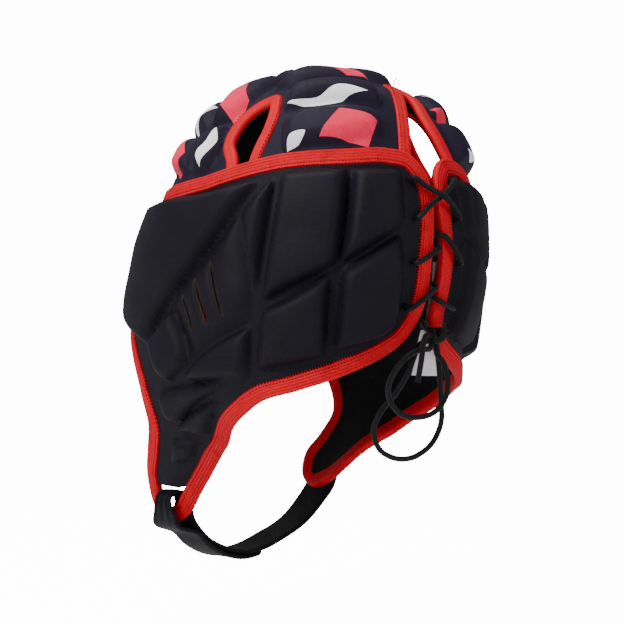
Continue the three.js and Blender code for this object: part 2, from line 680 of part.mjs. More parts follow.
// The strap runs under the chin, up inside the bar, over it through the loop and back under itself
function buildStrap() {
  const bar = barSection();
  const top = bar.topInside.z;
  const under = strapRun.map(({ across, drop }) =>
    new THREE.Vector2(across * bar.topInside.x, top - drop * strapDrop),
  );
  const fold = strapFold.map(({ corner, out, up }) => new THREE.Vector2(bar[corner].x + out, bar[corner].z + up));
  const lap = planeBeside(under, strapThickness + gap).slice(strapLapEnd).reverse();
  const middle = smoothPlane([...under, ...fold, ...lap], strapSteps);
  const half = strapThickness / 2;
  const profile = [...planeBeside(middle, half), ...planeBeside(middle, -half).reverse()];
  const band = new THREE.ExtrudeGeometry(new THREE.Shape(profile), { depth: strapWidth, bevelEnabled: false });
  const strapMiddle = bar.topInside.y - strapForward;
  band.rotateX(Math.PI / 2).translate(0, strapMiddle + strapWidth / 2, 0);
  // Seen from the side, the strap narrows to the loop
  const foldMiddle = bar.topInside.y + foldBack;
  const wide = top + foldDepth - strapTaper;
  const outline = [
    [strapMiddle + strapWidth, top - 2 * strapDrop],
    [strapMiddle + strapWidth / 2, wide],
    [foldMiddle + strapAtBar / 2, top + foldDepth],
    [foldMiddle + strapAtBar / 2, top + strapDrop],
    [foldMiddle - strapAtBar / 2, top + strapDrop],
    [foldMiddle - strapAtBar / 2, top + foldDepth],
    [strapMiddle - strapWidth / 2, wide],
    [strapMiddle - strapWidth, top - 2 * strapDrop],
  ];
  const gather = new THREE.Shape(outline.map((p) => new THREE.Vector2(...p)));
  const room = new THREE.ExtrudeGeometry(gather, { depth: headWidth / 2, bevelEnabled: false });
  room.rotateX(Math.PI / 2).rotateZ(Math.PI / 2);
  const whole = new THREE.BoxGeometry(headWidth, headLength, 4 * strapDrop);
  whole.translate(-headWidth / 2, bar.topInside.y, top - strapDrop);
  const allowed = solidFrom(room).add(solidFrom(whole));
  addPiece("chin_strap", geometryFrom(solidFrom(band).intersect(allowed)), colours.strap);
}

// A cord's middle line passes exactly through its hand-set points, one step to each
class Route extends THREE.CatmullRomCurve3 {
  getUtoTmapping(u) {
    return u;
  }
}

function cord(name, points) {
  const steps = points.length - 1;
  const shape = new THREE.Shape(
    Array.from({ length: laceSides }, (_, i) => {
      const turn = (2 * Math.PI * i) / laceSides;
      return new THREE.Vector2(Math.cos(turn), Math.sin(turn)).multiplyScalar(laceDiameter / 2);
    }),
  );
  const geometry = new THREE.ExtrudeGeometry(shape, { extrudePath: new Route(points), steps, bevelEnabled: false });
  addPiece(name, geometry, colours.lace);
}

const knotMiddle = headPoint(knotPlace.angle, knotPlace.latitude, knotPlace.lift);

// A cord starts just off the knot on the side that faces a place, and leaves it straight
function fromKnot(place) {
  const way = place.clone().sub(knotMiddle).normalize();
  const start = knotDiameter / 2 + gap;
  return [start, start + 1.1 * laceDiameter].map((away) => knotMiddle.clone().addScaledVector(way, away));
}

function lacePlaces(row) {
  if (Array.isArray(row)) return [headPoint(...row)];
  const side = sides.find(({ name }) => name === row.side);
  const middle = eyeletPlace(side, eyelets[row.row]);
  const lifts = [laceInside, panelMargin / 2, laceOutside];
  if (row.way === "in") lifts.reverse();
  return lifts.map((lift) => headPoint(...middle, lift));
}

function buildLace() {
  const places = laceRoute.flatMap(lacePlaces);
  const ends = [fromKnot(places[0]), fromKnot(places[places.length - 1]).reverse()];
  const points = [...ends[0], ...places.slice(1, -1), ...ends[1]];
  cord("lace", points);
  const fromMiddle = ([x, y, z]) => new THREE.Vector3(x, y, z).add(knotMiddle);
  const loop = (route) => {
    const way = route.map(fromMiddle);
    return [...fromKnot(way[0]), ...way.slice(1, -1), ...fromKnot(way[way.length - 1]).reverse()];
  };
  const tail = (route) => [...fromKnot(fromMiddle(route[0])), ...route.slice(1).map(fromMiddle)];
  cord("lace_small_loop", loop(smallLoop));
  cord("lace_large_loop", loop(largeLoop));
  cord("lace_long_tail", tail(longTail));
  cord("lace_short_tail", tail(shortTail));
  const knot = new THREE.SphereGeometry(knotDiameter / 2, 10, 8).translate(...knotMiddle.toArray());
  addPiece("lace_knot", knot, colours.lace);
}

function buildLabel() {
  const across = (place, distance) => beside(place, [0, -1], distance);
  const along = beside(labelTop, [-1, 0], labelHeight);
  const bottom = [labelTop[0] - labelLean, Math.min(along[1], 2 * labelTop[1] - along[1])];
  const outline = [
    across(labelTop, -labelWidth / 2),
    across(labelTop, labelWidth / 2),
    across(bottom, labelWidth / 2),
    across(bottom, -labelWidth / 2),
  ];
  const sheet = slab(sideChart, outline, -gap - labelThickness, -gap);
  addPiece("care_label", onHead(sideChart, sheet, labelStep), colours.label);
}

sides.forEach(buildPanel);
sides.forEach(buildPanelBinding);
buildCrown();
vents.forEach(buildVentBinding);
buildStrap();
buildLace();
buildLabel();

export default cap;
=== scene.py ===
# Looks of the rugby scrum cap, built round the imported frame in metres
import math

import bpy
import numpy as np
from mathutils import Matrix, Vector
from mathutils.geometry import delaunay_2d_cdt


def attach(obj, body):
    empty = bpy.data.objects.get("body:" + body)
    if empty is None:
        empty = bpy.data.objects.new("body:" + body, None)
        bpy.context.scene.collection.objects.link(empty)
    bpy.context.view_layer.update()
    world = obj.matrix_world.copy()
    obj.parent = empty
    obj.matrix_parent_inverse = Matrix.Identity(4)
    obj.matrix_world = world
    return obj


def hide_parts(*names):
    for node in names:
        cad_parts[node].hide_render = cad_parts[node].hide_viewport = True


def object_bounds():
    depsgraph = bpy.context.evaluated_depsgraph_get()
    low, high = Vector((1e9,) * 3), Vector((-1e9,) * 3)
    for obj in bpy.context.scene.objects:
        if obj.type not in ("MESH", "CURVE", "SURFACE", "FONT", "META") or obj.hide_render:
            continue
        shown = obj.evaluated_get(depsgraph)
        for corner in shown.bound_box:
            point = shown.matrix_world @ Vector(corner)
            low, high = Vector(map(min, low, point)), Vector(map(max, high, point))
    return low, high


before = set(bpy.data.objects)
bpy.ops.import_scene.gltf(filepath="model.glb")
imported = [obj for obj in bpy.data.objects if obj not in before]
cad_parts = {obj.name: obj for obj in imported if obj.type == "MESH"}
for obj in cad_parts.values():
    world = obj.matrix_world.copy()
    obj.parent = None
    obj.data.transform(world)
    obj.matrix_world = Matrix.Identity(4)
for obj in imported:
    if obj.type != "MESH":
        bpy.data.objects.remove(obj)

cad_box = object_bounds()
MM = 0.001
BODY = "root"

# Camera at the photograph's angle, for a frame of 624 x 624
FRAME = 624
FOCAL_PIXELS = 2160
EAR_LEVEL = -0.111
CAMERA_PLACE = (0.803, 0.892, EAR_LEVEL)
VIEW_MIDDLE = (305, 292)
SENSOR = 36

# The head that the cap is shaped on, in millimetres
HEAD_WIDTH = 154
HEAD_LENGTH = 197
CROWN_HEIGHT = 111

# Cloth, foam and tape, in millimetres
PANEL_MARGIN = 3
PANEL_PAD_HEIGHT = 10.5
CROWN_MARGIN = 2.5
CROWN_PAD_HEIGHT = 10.5
PAD_ROUND = 6
PAD_SPREAD = 1.4
CROWN_ROUND = 8
CROWN_SPREAD = 0.3
BINDING_WIDTH = 8.5
BINDING_THICKNESS = 4.4
VENT_WIDTH = 6.5
CLOTH_UNDER_TAPE = 2
SLIT_WIDTH = 1.3
SLIT_THREAD = 2.5
RIGHT_SAG = 9.5
GRID = 1.3
CHART_STEP = 0.7
CROWN_GRID = 0.66
CROWN_OVERLAP = 2.5
SLIT_EDGE = 1.3
THREAD_LIFT = 0.25
VENT_END = 3.5
# Millimetres of cloth for each degree of a chart, across and up
CLOTH_SCALE = (1.75, 1.95)
LACE_DIAMETER = 3
KNOT_DIAMETER = 11
EYELET_DIAMETER = 3.3
EYELET_INSET = 3
GAP = 0.3
STRAP_WIDTH = 24
STRAP_THICKNESS = 2.6
STRAP_DROP = 32

# Sections of the head form: latitude, back, side, front, squareness
SECTIONS = np.array([
    (-75, 0.83, 0.95, 1.8, 4), (-60, 0.83, 0.92, 1.44, 4), (-45, 0.83, 0.855, 1.08, 3.6),
    (-30, 0.81, 0.785, 1.01, 2.6), (-15, 0.8, 0.71, 0.97, 2.4), (0, 0.865, 0.694, 0.91, 2.2),
    (15, 0.93, 0.71, 0.85, 2.2), (30, 1, 0.77, 0.79, 2.2), (45, 1.07, 0.85, 0.79, 2.2),
    (60, 1.09, 0.945, 0.85, 2.2), (75, 1.045, 1, 0.935, 2.2), (90, 1, 1, 1, 2.2)])
BACK, SIDE, FRONT, SQUARENESS = 1, 2, 3, 4
SAG = np.array([(0, 0), (14, 0.25), (30, 0.75), (55, 1), (90, 0.7), (130, 0.15), (180, 0)])

# A side panel's outline: angle from the middle of the back, latitude from ear level
TOP = [(180, 37), (152, 36.5), (127, 37), (110, 39), (93, 41), (74, 43), (52, 43), (27, 40.3),
       (15, 39.5), (6, 37.3)]
LACING = [(1.2, 31), (1.2, 20), (2, 10), (2, 0), (2.8, -8)]
NECK = [(6.5, -16), (14, -21.5), (28, -27), (44, -31.5), (57, -35), (67, -41)]
FLAP = [(75, -46.5), (85, -54), (98, -58.7), (112, -61.5)]
LEFT_TIP = [(125, -62.6), (134, -62.6), (140, -59.6), (142.5, -55), (139.5, -49.5)]
RIGHT_TIP = [(123, -60.8), (130, -59), (136, -56.5), (139.5, -52), (138, -48)]
FACE = [(132.5, -45), (127, -40), (129, -32), (135, -24), (141, -17), (149, -10.5), (163, -6), (180, -4.5)]
FLAP_CUT = [(152, -45.5), (140, -50.8), (129, -57.2), (110, -66), (140, -75), (165, -60)]

PANEL_PADS = [
    (0.95, [(151, 31), (178, 31.5), (178, 1.5), (154, -0.5)]),
    (1, [(60, 36), (128, 33), (139, 31), (147, -2), (142, -9), (131, -14.5), (122, -18)]),
    (0.78, [(66.5, 26.5), (100, -2), (99, -7), (92, -19.5), (88, -22.5), (62, -10), (60.5, 1)]),
    (0.95, [(53, 35), (64, 26.5), (58.5, 3)]),
    (1, [(28.5, 34.5), (48.5, 36), (55, -2), (32.5, 9.5)]),
    (1, [(12.5, 33), (26, 34), (30, 10), (13, 19.5)]),
    (1, [(14, 16), (30, 6.5), (31.5, -18.5), (17, -13.5), (13, -9.5), (12.8, 10)]),
    (1, [(34.5, 5), (55.5, -7), (57.5, -25.5), (36, -20.5)]),
    (0.86, [(61.5, -13), (95, -30.5), (90, -31.5), (62.5, -28.5)]),
    (0.86, [(103, -8), (119, -18.5), (112, -29), (107, -31), (94, -26), (95.5, -19)]),
    (0.82, [(114, -34.5), (76, -33), (108, -43.5), (114, -42)]),
    (0.76, [(80, -38.5), (111, -46), (94, -49.5)]),
    (0.7, [(117, -48), (107, -51.5), (114, -54.5), (123, -52)])]
# Runs of the flanks: the pad with the slits is softer than the rest, the flap's small pads are tighter
PAD_RUNS = {0.78: 15, 0.82: 5, 0.76: 4.5, 0.7: 4.5}
EAR_SLITS = [((93, -1), (87, -15)), ((86, 5), (79, -12.5)), ((78, 11.5), (71.5, -9.5))]
EYELETS = [(1.2, 31), (1.2, 21), (2, 9), (2.4, -4)]

VENTS = {
    "left_vent_binding": [(75.5, 38), (77, 44), (82.5, 50), (83, 55), (79, 60.5), (70, 64.5), (57, 64.5),
                          (54, 59), (55.5, 52), (59.5, 45), (61.5, 38)],
    "rear_vent_binding": [(10.5, 33), (9.5, 39), (6.5, 46), (1, 53.5), (-9, 61), (-22, 66.5), (-30, 63.5),
                          (-22, 57), (-13.5, 49), (-13, 42), (-15, 33)],
    "right_vent_binding": [(-46, 30), (-46.5, 38), (-46, 46), (-45, 54), (-48, 61), (-60, 63.5), (-68, 60),
                           (-72.5, 55), (-73, 48), (-70, 40), (-68, 30)],
}
# Soft pads of the crown: corners in degrees from its top, to the left and to the back
CROWN_PADS = [
    (1, [(12.5, 46), (24, 42), (36, 30.5), (28.5, 23.5), (9.5, 39)]),
    (0.9, [(7.5, 37.2), (26.5, 21.8), (19.5, 16.5), (3, 30), (4, 34.5)]),
    (0.9, [(1.8, 28.4), (17.8, 15.2), (19, 9.5), (7, 7.5), (-3.5, 19.5)]),
    (0.95, [(21, 6.5), (29.5, 3), (33, -6), (20, -9), (9.5, -2), (8.5, 5)]),
    (0.85, [(31.5, 2.2), (42, 3.6), (46.8, 2), (46.5, -9), (35, -7.5)]),
    (0.9, [(34.5, -9.6), (46.2, -11), (43, -22), (36, -31), (28, -24)]),
    (0.9, [(31.5, -10), (26, -24.5), (17, -24), (10, -14), (20.5, -11)]),
    (0.9, [(16.5, -29), (25.5, -26.8), (34.5, -32.8), (28, -42), (18, -48), (15.6, -38)]),
    (0.9, [(6.3, 4.2), (7.8, -13.2), (0, -17), (-7.8, -13.2), (-7, 4.2)]),
    (0.95, [(7, -19.5), (15.5, -26.5), (13.5, -36), (-13.5, -36), (-15.5, -26.5), (-7, -19.5)]),
    (0.85, [(13.5, -38.3), (15.5, -48.8), (-15.5, -48.8), (-13.5, -38.3)]),
    (0.95, [(-9, 5), (-10, -2.5), (-21, -9), (-32, -5), (-30, 7.5), (-20, 10)]),
    (0.85, [(-32.3, 8), (-34.6, -6), (-52, -8.5), (-53.5, 3), (-50, 11), (-41, 9.8)]),
    (0.9, [(-34.2, -8.5), (-52.3, -11), (-48, -24), (-38, -34), (-28, -25)]),
    (0.9, [(-31.5, -10), (-26, -24.5), (-17, -24), (-10, -14), (-20.5, -11)]),
    (0.9, [(-16.5, -29), (-25.5, -26.8), (-35.5, -34.5), (-28, -43), (-18, -48.5), (-15.6, -38)]),
    (1, [(-15.2, 24.5), (-19.4, 21.5), (-30.5, 33), (-13.5, 37)]),
    (1, [(-13.2, 39.3), (-32, 34.8), (-38, 39.8), (-27, 48), (-15, 51.5)]),
    (0.9, [(-5.5, 18.5), (4.5, 6), (-6.5, 6.5), (-19.5, 12.3), (-19, 16.5), (-11, 20.5)])]

# Generic print of the crown: straight-edged coral shards, and white waves from a sharp tip and back
CORAL_SHAPES = [
    [(46, -18), (40, -12.5), (32, -15), (34, -25), (41, -23)],
    [(27, 37.5), (19, 35.5), (12.5, 42.5), (17.5, 47)],
    [(32, 4), (24, 4.5), (15, -5), (26, -6)],
    [(9, 16), (3, 19), (0.5, 27), (6.5, 23)],
    [(-30, 40), (-23, 34.5), (-14, 34), (-17, 41)],
    [(-50, 6), (-41, 3), (-36, -5), (-46, -5)],
    [(12, -33), (3, -27), (-7, -30), (-12, -38), (4, -37)],
    [(-41, -26), (-34, -19), (-29, -22), (-33, -31)],
    [(-12, -7), (-19, -6), (-25, 1), (-15, 4)]]
WHITE_SHAPES = [
    [(9, 33.5), (14, 28.5), (19, 27), (24.5, 21.5), (21, 27.5), (16.5, 31), (12.5, 32)],
    [(35, 31.5), (31.5, 31), (28.5, 34), (31.5, 34)],
    [(46, -3), (42, -4), (39, -1), (34.5, 0), (38, 2), (43, 0)],
    [(22, -12), (27, -14.5), (29, -20), (24, -18.5), (19, -19), (16, -16), (20, -15.5)],
    [(-16, 27), (-20, 27.5), (-23, 31), (-19, 31)],
    [(-18, 47), (-24, 45), (-30, 40.5), (-26, 45), (-22, 48)],
    [(-22, -15), (-26, -19), (-23, -23), (-19, -21)],
    [(26, -36), (22, -34), (18, -37), (17, -43), (20, -39.5), (23, -38)],
    [(-5, 1), (-3, -5), (2, -9), (5, -8), (1, -5), (-1, 0)]]


def new_object(name, data):
    item = bpy.data.objects.new(name, data)
    bpy.context.scene.collection.objects.link(item)
    return item


def unit(vectors):
    return vectors / np.linalg.norm(vectors, axis=-1, keepdims=True)


# Length along a line of points, from its start to each of them
def run_along(points):
    return np.concatenate([[0], np.cumsum(np.linalg.norm(np.diff(points, axis=0), axis=1))])


# Points of a flat line at other lengths along it
def resampled(line, along, at):
    return np.stack([np.interp(at, along, line[:, k]) for k in (0, 1)], axis=-1)


# The camera comes first
def add_camera():
    data = bpy.data.cameras.new("camera")
    data.sensor_width = SENSOR
    data.lens = FOCAL_PIXELS / FRAME * SENSOR
    data.shift_x = (FRAME / 2 - VIEW_MIDDLE[0]) / FRAME
    data.shift_y = (VIEW_MIDDLE[1] - FRAME / 2) / FRAME
    data.clip_end = 20
    camera = new_object("camera", data)
    camera.location = CAMERA_PLACE
    way = Vector((0, 0, EAR_LEVEL)) - camera.location
    camera.rotation_euler = way.to_track_quat("-Z", "Y").to_euler()
    bpy.context.scene.camera = camera


# Reading a value between the rows of a table, smoothly
def between(table, column, at):
    keys, values = table[:, 0], table[:, column]
    last = len(keys) - 1
    before = np.maximum(np.arange(last + 1) - 1, 0)
    after = np.minimum(np.arange(last + 1) + 1, last)
    slopes = (values[after] - values[before]) / (keys[after] - keys[before])
    slopes[last] = 0
    x = np.clip(at, keys[0], keys[-1])
    i = np.minimum(np.searchsorted(keys[1:], x, side="left"), last - 1)
    span = keys[i + 1] - keys[i]
    t = (x - keys[i]) / span
    return ((2 * t ** 3 - 3 * t ** 2 + 1) * values[i] + (t ** 3 - 2 * t ** 2 + t) * span * slopes[i]
            + (3 * t ** 2 - 2 * t ** 3) * values[i + 1] + (t ** 3 - t ** 2) * span * slopes[i + 1])


EAR_ROW = SECTIONS[SECTIONS[:, 0] == 0][0]
WIDTH_STRETCH = HEAD_WIDTH / (2 * EAR_ROW[SIDE] * CROWN_HEIGHT)
LENGTH_STRETCH = HEAD_LENGTH / ((EAR_ROW[BACK] + EAR_ROW[FRONT]) * CROWN_HEIGHT)


# A place on the head form, in millimetres of the part's frame
def head_surface(places):
    angle, latitude = np.radians(places[..., 0]), places[..., 1]
    power = between(SECTIONS, SQUARENESS, latitude)
    back, front = between(SECTIONS, BACK, latitude), between(SECTIONS, FRONT, latitude)
    lengthways = np.abs(np.cos(angle)) / np.where(np.cos(angle) >= 0, back, front)
    sideways = np.abs(np.sin(angle)) / between(SECTIONS, SIDE, latitude)
    radius = CROWN_HEIGHT / (lengthways ** power + sideways ** power) ** (1 / power)
    lat = np.radians(latitude)
    x = np.sin(angle) * np.cos(lat) * radius * WIDTH_STRETCH
    y = np.cos(angle) * np.cos(lat) * radius * LENGTH_STRETCH
    return np.stack([x, y, np.sin(lat) * radius - CROWN_HEIGHT], axis=-1)


def slopes_at(places):
    half_angle, half_latitude = np.array([0.5, 0]), np.array([0, 0.5])
    per_angle = head_surface(places + half_angle) - head_surface(places - half_angle)
    per_latitude = head_surface(places + half_latitude) - head_surface(places - half_latitude)
    return per_angle, per_latitude


def outwards(places):
    below = np.stack([places[..., 0], np.minimum(places[..., 1], 89)], axis=-1)
    per_angle, per_latitude = slopes_at(below)
    return unit(np.cross(per_latitude, per_angle))


def head_point(places, lift):
    places = np.asarray(places, dtype=float)
    lift = np.asarray(lift, dtype=float)
    return head_surface(places) + outwards(places) * lift[..., None]


# Places moved sideways from their direction of travel, by millimetres on the form
def beside(places, travel, distance):
    places, travel = np.asarray(places, dtype=float), np.asarray(travel, dtype=float)
    per_angle, per_latitude = slopes_at(places)
    way = per_angle * travel[..., :1] + per_latitude * travel[..., 1:]
    side = np.cross(way, outwards(places))
    side *= distance / np.linalg.norm(side, axis=-1, keepdims=True)
    e, f, g = [(p * q).sum(axis=-1) for p, q in
               ((per_angle, per_angle), (per_angle, per_latitude), (per_latitude, per_latitude))]
    a, b = (side * per_angle).sum(axis=-1), (side * per_latitude).sum(axis=-1)
    scale = e * g - f * f
    return places + np.stack([(a * g - b * f) / scale, (b * e - a * f) / scale], axis=-1)


def line_beside(line, distance):
    before = np.vstack([line[:1], line[:-1]])
    after = np.vstack([line[1:], line[-1:]])
    travel = after - before
    travel[np.abs(line[:, 0]) >= 180, 1] = 0
    return beside(line, travel, distance)


# A smooth centripetal line through points of any dimension
def smooth_line(points, steps):
    points = np.asarray(points, dtype=float)
    ends = [2 * points[0] - points[1], 2 * points[-1] - points[-2]]
    padded = np.vstack([ends[0], points, ends[1]])
    result = []
    for i in range(len(points) - 1):
        p0, p1, p2, p3 = padded[i:i + 4]
        d0, d1, d2 = [max(np.linalg.norm(q - p), 1e-6) ** 0.5 for p, q in ((p0, p1), (p1, p2), (p2, p3))]
        t1 = ((p1 - p0) / d0 - (p2 - p0) / (d0 + d1) + (p2 - p1) / d1) * d1
        t2 = ((p2 - p1) / d1 - (p3 - p1) / (d1 + d2) + (p3 - p2) / d2) * d1
        square, cube = 3 * (p2 - p1) - 2 * t1 - t2, 2 * (p1 - p2) + t1 + t2
        result += [p1 + t1 * w + square * w ** 2 + cube * w ** 3 for w in np.arange(steps) / steps]
    result.append(points[-1])
    return np.array(result)


# A closed line with straight sides
def straight_line(corners, steps):
    corners = np.asarray(corners, dtype=float)
    shares = (np.arange(steps) / steps)[:, None]
    return np.vstack([a + shares * (b - a) for a, b in zip(corners, np.roll(corners, -1, axis=0))])


# The same places on the wearer's other side, where the soft cap has slipped down
def on_right(places):
    places = np.asarray(places, dtype=float)
    height = np.clip(places[..., 1] / 40, 0, 1)
    sag = RIGHT_SAG * height * between(SAG, 1, np.abs(places[..., 0]))
    return np.stack([-places[..., 0], places[..., 1] - sag], axis=-1)


def on_left(places):
    return np.asarray(places, dtype=float)


class SideChart:
    from_inside = True

    @staticmethod
    def to_flat(places):
        return np.asarray(places, dtype=float)

    @staticmethod
    def to_form(flat):
        return np.asarray(flat, dtype=float)


class TopChart:
    from_inside = False

    @staticmethod
    def to_flat(places):
        places = np.asarray(places, dtype=float)
        angle = np.radians(places[..., 0])
        away = 90 - places[..., 1]
        return np.stack([away * np.sin(angle), away * np.cos(angle)], axis=-1)

    @staticmethod
    def to_form(flat):
        flat = np.asarray(flat, dtype=float)
        angle = np.degrees(np.arctan2(flat[..., 0], flat[..., 1]))
        return np.stack([angle, 90 - np.hypot(flat[..., 0], flat[..., 1])], axis=-1)


# Which points lie within a closed flat outline
def inside(points, outline):
    result = np.zeros(len(points), dtype=bool)
    x, y = points[:, 0], points[:, 1]
    for (x1, y1), (x2, y2) in zip(outline, np.roll(outline, -1, axis=0)):
        if y1 == y2:
            continue
        crosses = (y1 > y) != (y2 > y)
        result ^= crosses & (x < (x2 - x1) * (y - y1) / (y2 - y1) + x1)
    return result


# How the chart stretches at each flat point: e, f, g of the form's metric, per chart unit
def metric(chart, flat):
    h = 0.25
    surface = lambda x, y: head_surface(chart.to_form(flat + np.array([x, y])))
    per_x = (surface(h, 0) - surface(-h, 0)) / (2 * h)
    per_y = (surface(0, h) - surface(0, -h)) / (2 * h)
    return [(p * q).sum(axis=-1) for p, q in ((per_x, per_x), (per_x, per_y), (per_y, per_y))]


# Millimetres from each flat point to the nearest part of a closed line
def line_distance(flat, scales, line):
    e, f, g = scales
    nearest = np.full(len(flat), 1e9)
    for a, b in zip(line, np.roll(line, -1, axis=0)):
        d = b - a
        q = flat - a
        dd = e * d[0] ** 2 + 2 * f * d[0] * d[1] + g * d[1] ** 2
        qd = e * q[:, 0] * d[0] + f * (q[:, 0] * d[1] + q[:, 1] * d[0]) + g * q[:, 1] * d[1]
        t = np.clip(qd / np.maximum(dd, 1e-12), 0, 1)
        r = q - t[:, None] * d
        away = e * r[:, 0] ** 2 + 2 * f * r[:, 0] * r[:, 1] + g * r[:, 1] ** 2
        nearest = np.minimum(nearest, away)
    return np.sqrt(np.maximum(nearest, 0))


def hull(points):
    points = sorted(map(tuple, points))
    chains = []
    for ordered in (points, points[::-1]):
        chain = []
        for p in ordered:
            while len(chain) > 1 and ((chain[-1][0] - chain[-2][0]) * (p[1] - chain[-2][1])
                                      <= (chain[-1][1] - chain[-2][1]) * (p[0] - chain[-2][0])):
                chain.pop()
            chain.append(p)
        chains += chain[:-1]
    return np.array(chains)


PAD_CORNER = 1.1
PAD_SHOULDER = 2.2
PAD_CROWNING = 0.8
CROWNING_START = 3
CROWNING_RUN = 9


# Millimetres inside a pad's corners, with the corners rounded off
def pad_depth(flat, scales, corners):
    e, f, g = scales
    corners = hull(corners)
    total = np.zeros(len(flat))
    for a, b in zip(corners, np.roll(corners, -1, axis=0)):
        n = np.array([-(b - a)[1], (b - a)[0]])
        inverse = (g * n[0] ** 2 - 2 * f * n[0] * n[1] + e * n[1] ** 2) / (e * g - f * f)
        depth = ((flat - a) @ n) / np.sqrt(inverse)
        total += np.exp(np.clip(-depth / PAD_CORNER, -60, 60))
    return -PAD_CORNER * np.log(total)


# A moulded pad rises steeply, turns over a round shoulder and is a little crowned
def pad_rise(depth, run):
    t = np.clip(depth / run, 0, 1)
    return 1 - (1 - t) ** PAD_SHOULDER


def pad_lift(flat, scales, pads, margin, height, limit, run_of, spread):
    lift = np.full(len(flat), float(margin))
    for share, corners in pads:
        depth = np.minimum(pad_depth(flat, scales, corners) + spread, limit)
        crowned = PAD_CROWNING * (1 - np.exp(-np.clip(depth - CROWNING_START, 0, None) / CROWNING_RUN))
        rise = (share * height - margin - GAP) * pad_rise(depth, run_of(share))
        lift = np.maximum(lift, margin + rise + crowned)
    return lift


def new_mesh(name, vertices, faces, materials, kinds, uv):
    mesh = bpy.data.meshes.new(name)
    mesh.from_pydata((np.asarray(vertices) * MM).tolist(), [], faces)
    for material in materials:
        mesh.materials.append(material)
    if kinds is not None:
        mesh.polygons.foreach_set("material_index", np.asarray(kinds, dtype=np.int32))
    layer = mesh.uv_layers.new(name="cloth")
    corners = np.empty(len(mesh.loops), dtype=np.int32)
    mesh.loops.foreach_get("vertex_index", corners)
    layer.data.foreach_set("uv", np.asarray(uv, dtype=np.float32)[corners].ravel())
    mesh.polygons.foreach_set("use_smooth", np.ones(len(mesh.polygons), dtype=bool))
    mesh.set_sharp_from_angle(angle=math.radians(50))
    mesh.update()
    return new_object(name, mesh)


# A padded shell over the form: one flat triangulation, lifted for the outside and the lining
def padded_shell(name, chart, outline, holes, inner_lines, points, lift_of, kind_of, materials):
    loops = [np.asarray(outline)] + [np.asarray(hole) for hole in holes] + inner_lines
    coordinates, edges = [], []
    for loop in loops:
        start = len(coordinates)
        coordinates += loop.tolist()
        edges += [(start + i, start + (i + 1) % len(loop)) for i in range(len(loop))]
    coordinates += points.tolist()
    found = delaunay_2d_cdt([Vector(c) for c in coordinates], edges, [], 0, 1e-5)
    flat = np.array([tuple(v) for v in found[0]])
    faces = np.array(found[2])
    middles = flat[faces].mean(axis=1)
    kept = inside(middles, loops[0])
    for hole in holes:
        kept &= ~inside(middles, np.asarray(hole))
    faces, middles = faces[kept], middles[kept]
    used, renumbered = np.unique(faces, return_inverse=True)
    faces = renumbered.reshape(faces.shape)
    flat = flat[used]
    if chart.from_inside:
        faces = faces[:, ::-1]
    places = chart.to_form(flat)
    count = len(flat)
    outer = head_point(places, lift_of(flat))
    inner = head_point(places, np.zeros(count))
    directed = dict.fromkeys(pair for a, b, c in faces.tolist() for pair in ((a, b), (b, c), (c, a)))
    rim = [(p, q) for p, q in directed if (q, p) not in directed]
    walls = [(q, p, p + count, q + count) for p, q in rim]
    all_faces = faces.tolist() + (faces[:, ::-1] + count).tolist() + walls
    lining = len(materials) - 1
    kinds = np.concatenate([kind_of(middles), np.full(len(faces), lining), np.full(len(walls), lining)])
    cloth_flat = flat * np.array(CLOTH_SCALE) * MM
    vertices, uv = np.vstack([outer, inner]), np.vstack([cloth_flat, cloth_flat])
    return new_mesh(name, vertices, all_faces, materials, kinds, uv)


# A band or tube: rings of points joined along and closed at both ends
def swept(name, rings, materials, around):
    rings = np.asarray(rings)
    count, size = rings.shape[:2]
    along = run_along(rings[:, 0])
    faces = []
    for i in range(count - 1):
        k = i + 1
        for j in range(size):
            m = (j + 1) % size
            faces.append((i * size + j, i * size + m, k * size + m, k * size + j))
    faces.append(tuple(range(size))[::-1])
    faces.append(tuple((count - 1) * size + j for j in range(size)))
    uv = np.stack(np.meshgrid(along, around, indexing="ij"), axis=-1).reshape(-1, 2) * MM
    piece = new_mesh(name, rings.reshape(-1, 3), faces, materials, None, uv)
    outward(piece)
    return piece


# Turns a closed piece right side out, by the sign of its volume
def outward(piece):
    mesh = piece.data
    coordinates = np.empty(len(mesh.vertices) * 3)
    mesh.vertices.foreach_get("co", coordinates)
    coordinates = coordinates.reshape(-1, 3)
    mesh.calc_loop_triangles()
    triangles = np.empty(len(mesh.loop_triangles) * 3, dtype=np.int32)
    mesh.loop_triangles.foreach_get("vertices", triangles)
    a, b, c = coordinates[triangles.reshape(-1, 3)].transpose(1, 0, 2)
    volume = (a * np.cross(b, c)).sum()
    if volume < 0:
        mesh.flip_normals()


def even_steps(line, step, lift=0.0):
    along = run_along(head_point(line, lift))
    count = max(int(round(along[-1] / step)), 2)
    return resampled(line, along, np.linspace(0, along[-1], count + 1))


# Materials: a wave texture repeats every 2 pi / 20 of its scaled unit
WAVE_REPEAT = 0.314
SPECULAR = 0.15


def linear(colour):
    parts = [int(colour[i:i + 2], 16) / 255 for i in (1, 3, 5)]
    return tuple(p / 12.92 if p <= 0.04045 else ((p + 0.055) / 1.055) ** 2.4 for p in parts) + (1.0,)


def add(tree, kind, settings=(), values=(), links=()):
    node = tree.nodes.new(kind)
    for key, value in dict(settings).items():
        setattr(node, key, value)
    for key, value in dict(values).items():
        node.inputs[key].default_value = value
    for key, (source, output) in dict(links).items():
        tree.links.new(source.outputs[output], node.inputs[key])
    return node


def empty_material(name):
    material = bpy.data.materials.new(name)
    material.use_nodes = True
    material.node_tree.nodes.clear()
    return material, material.node_tree


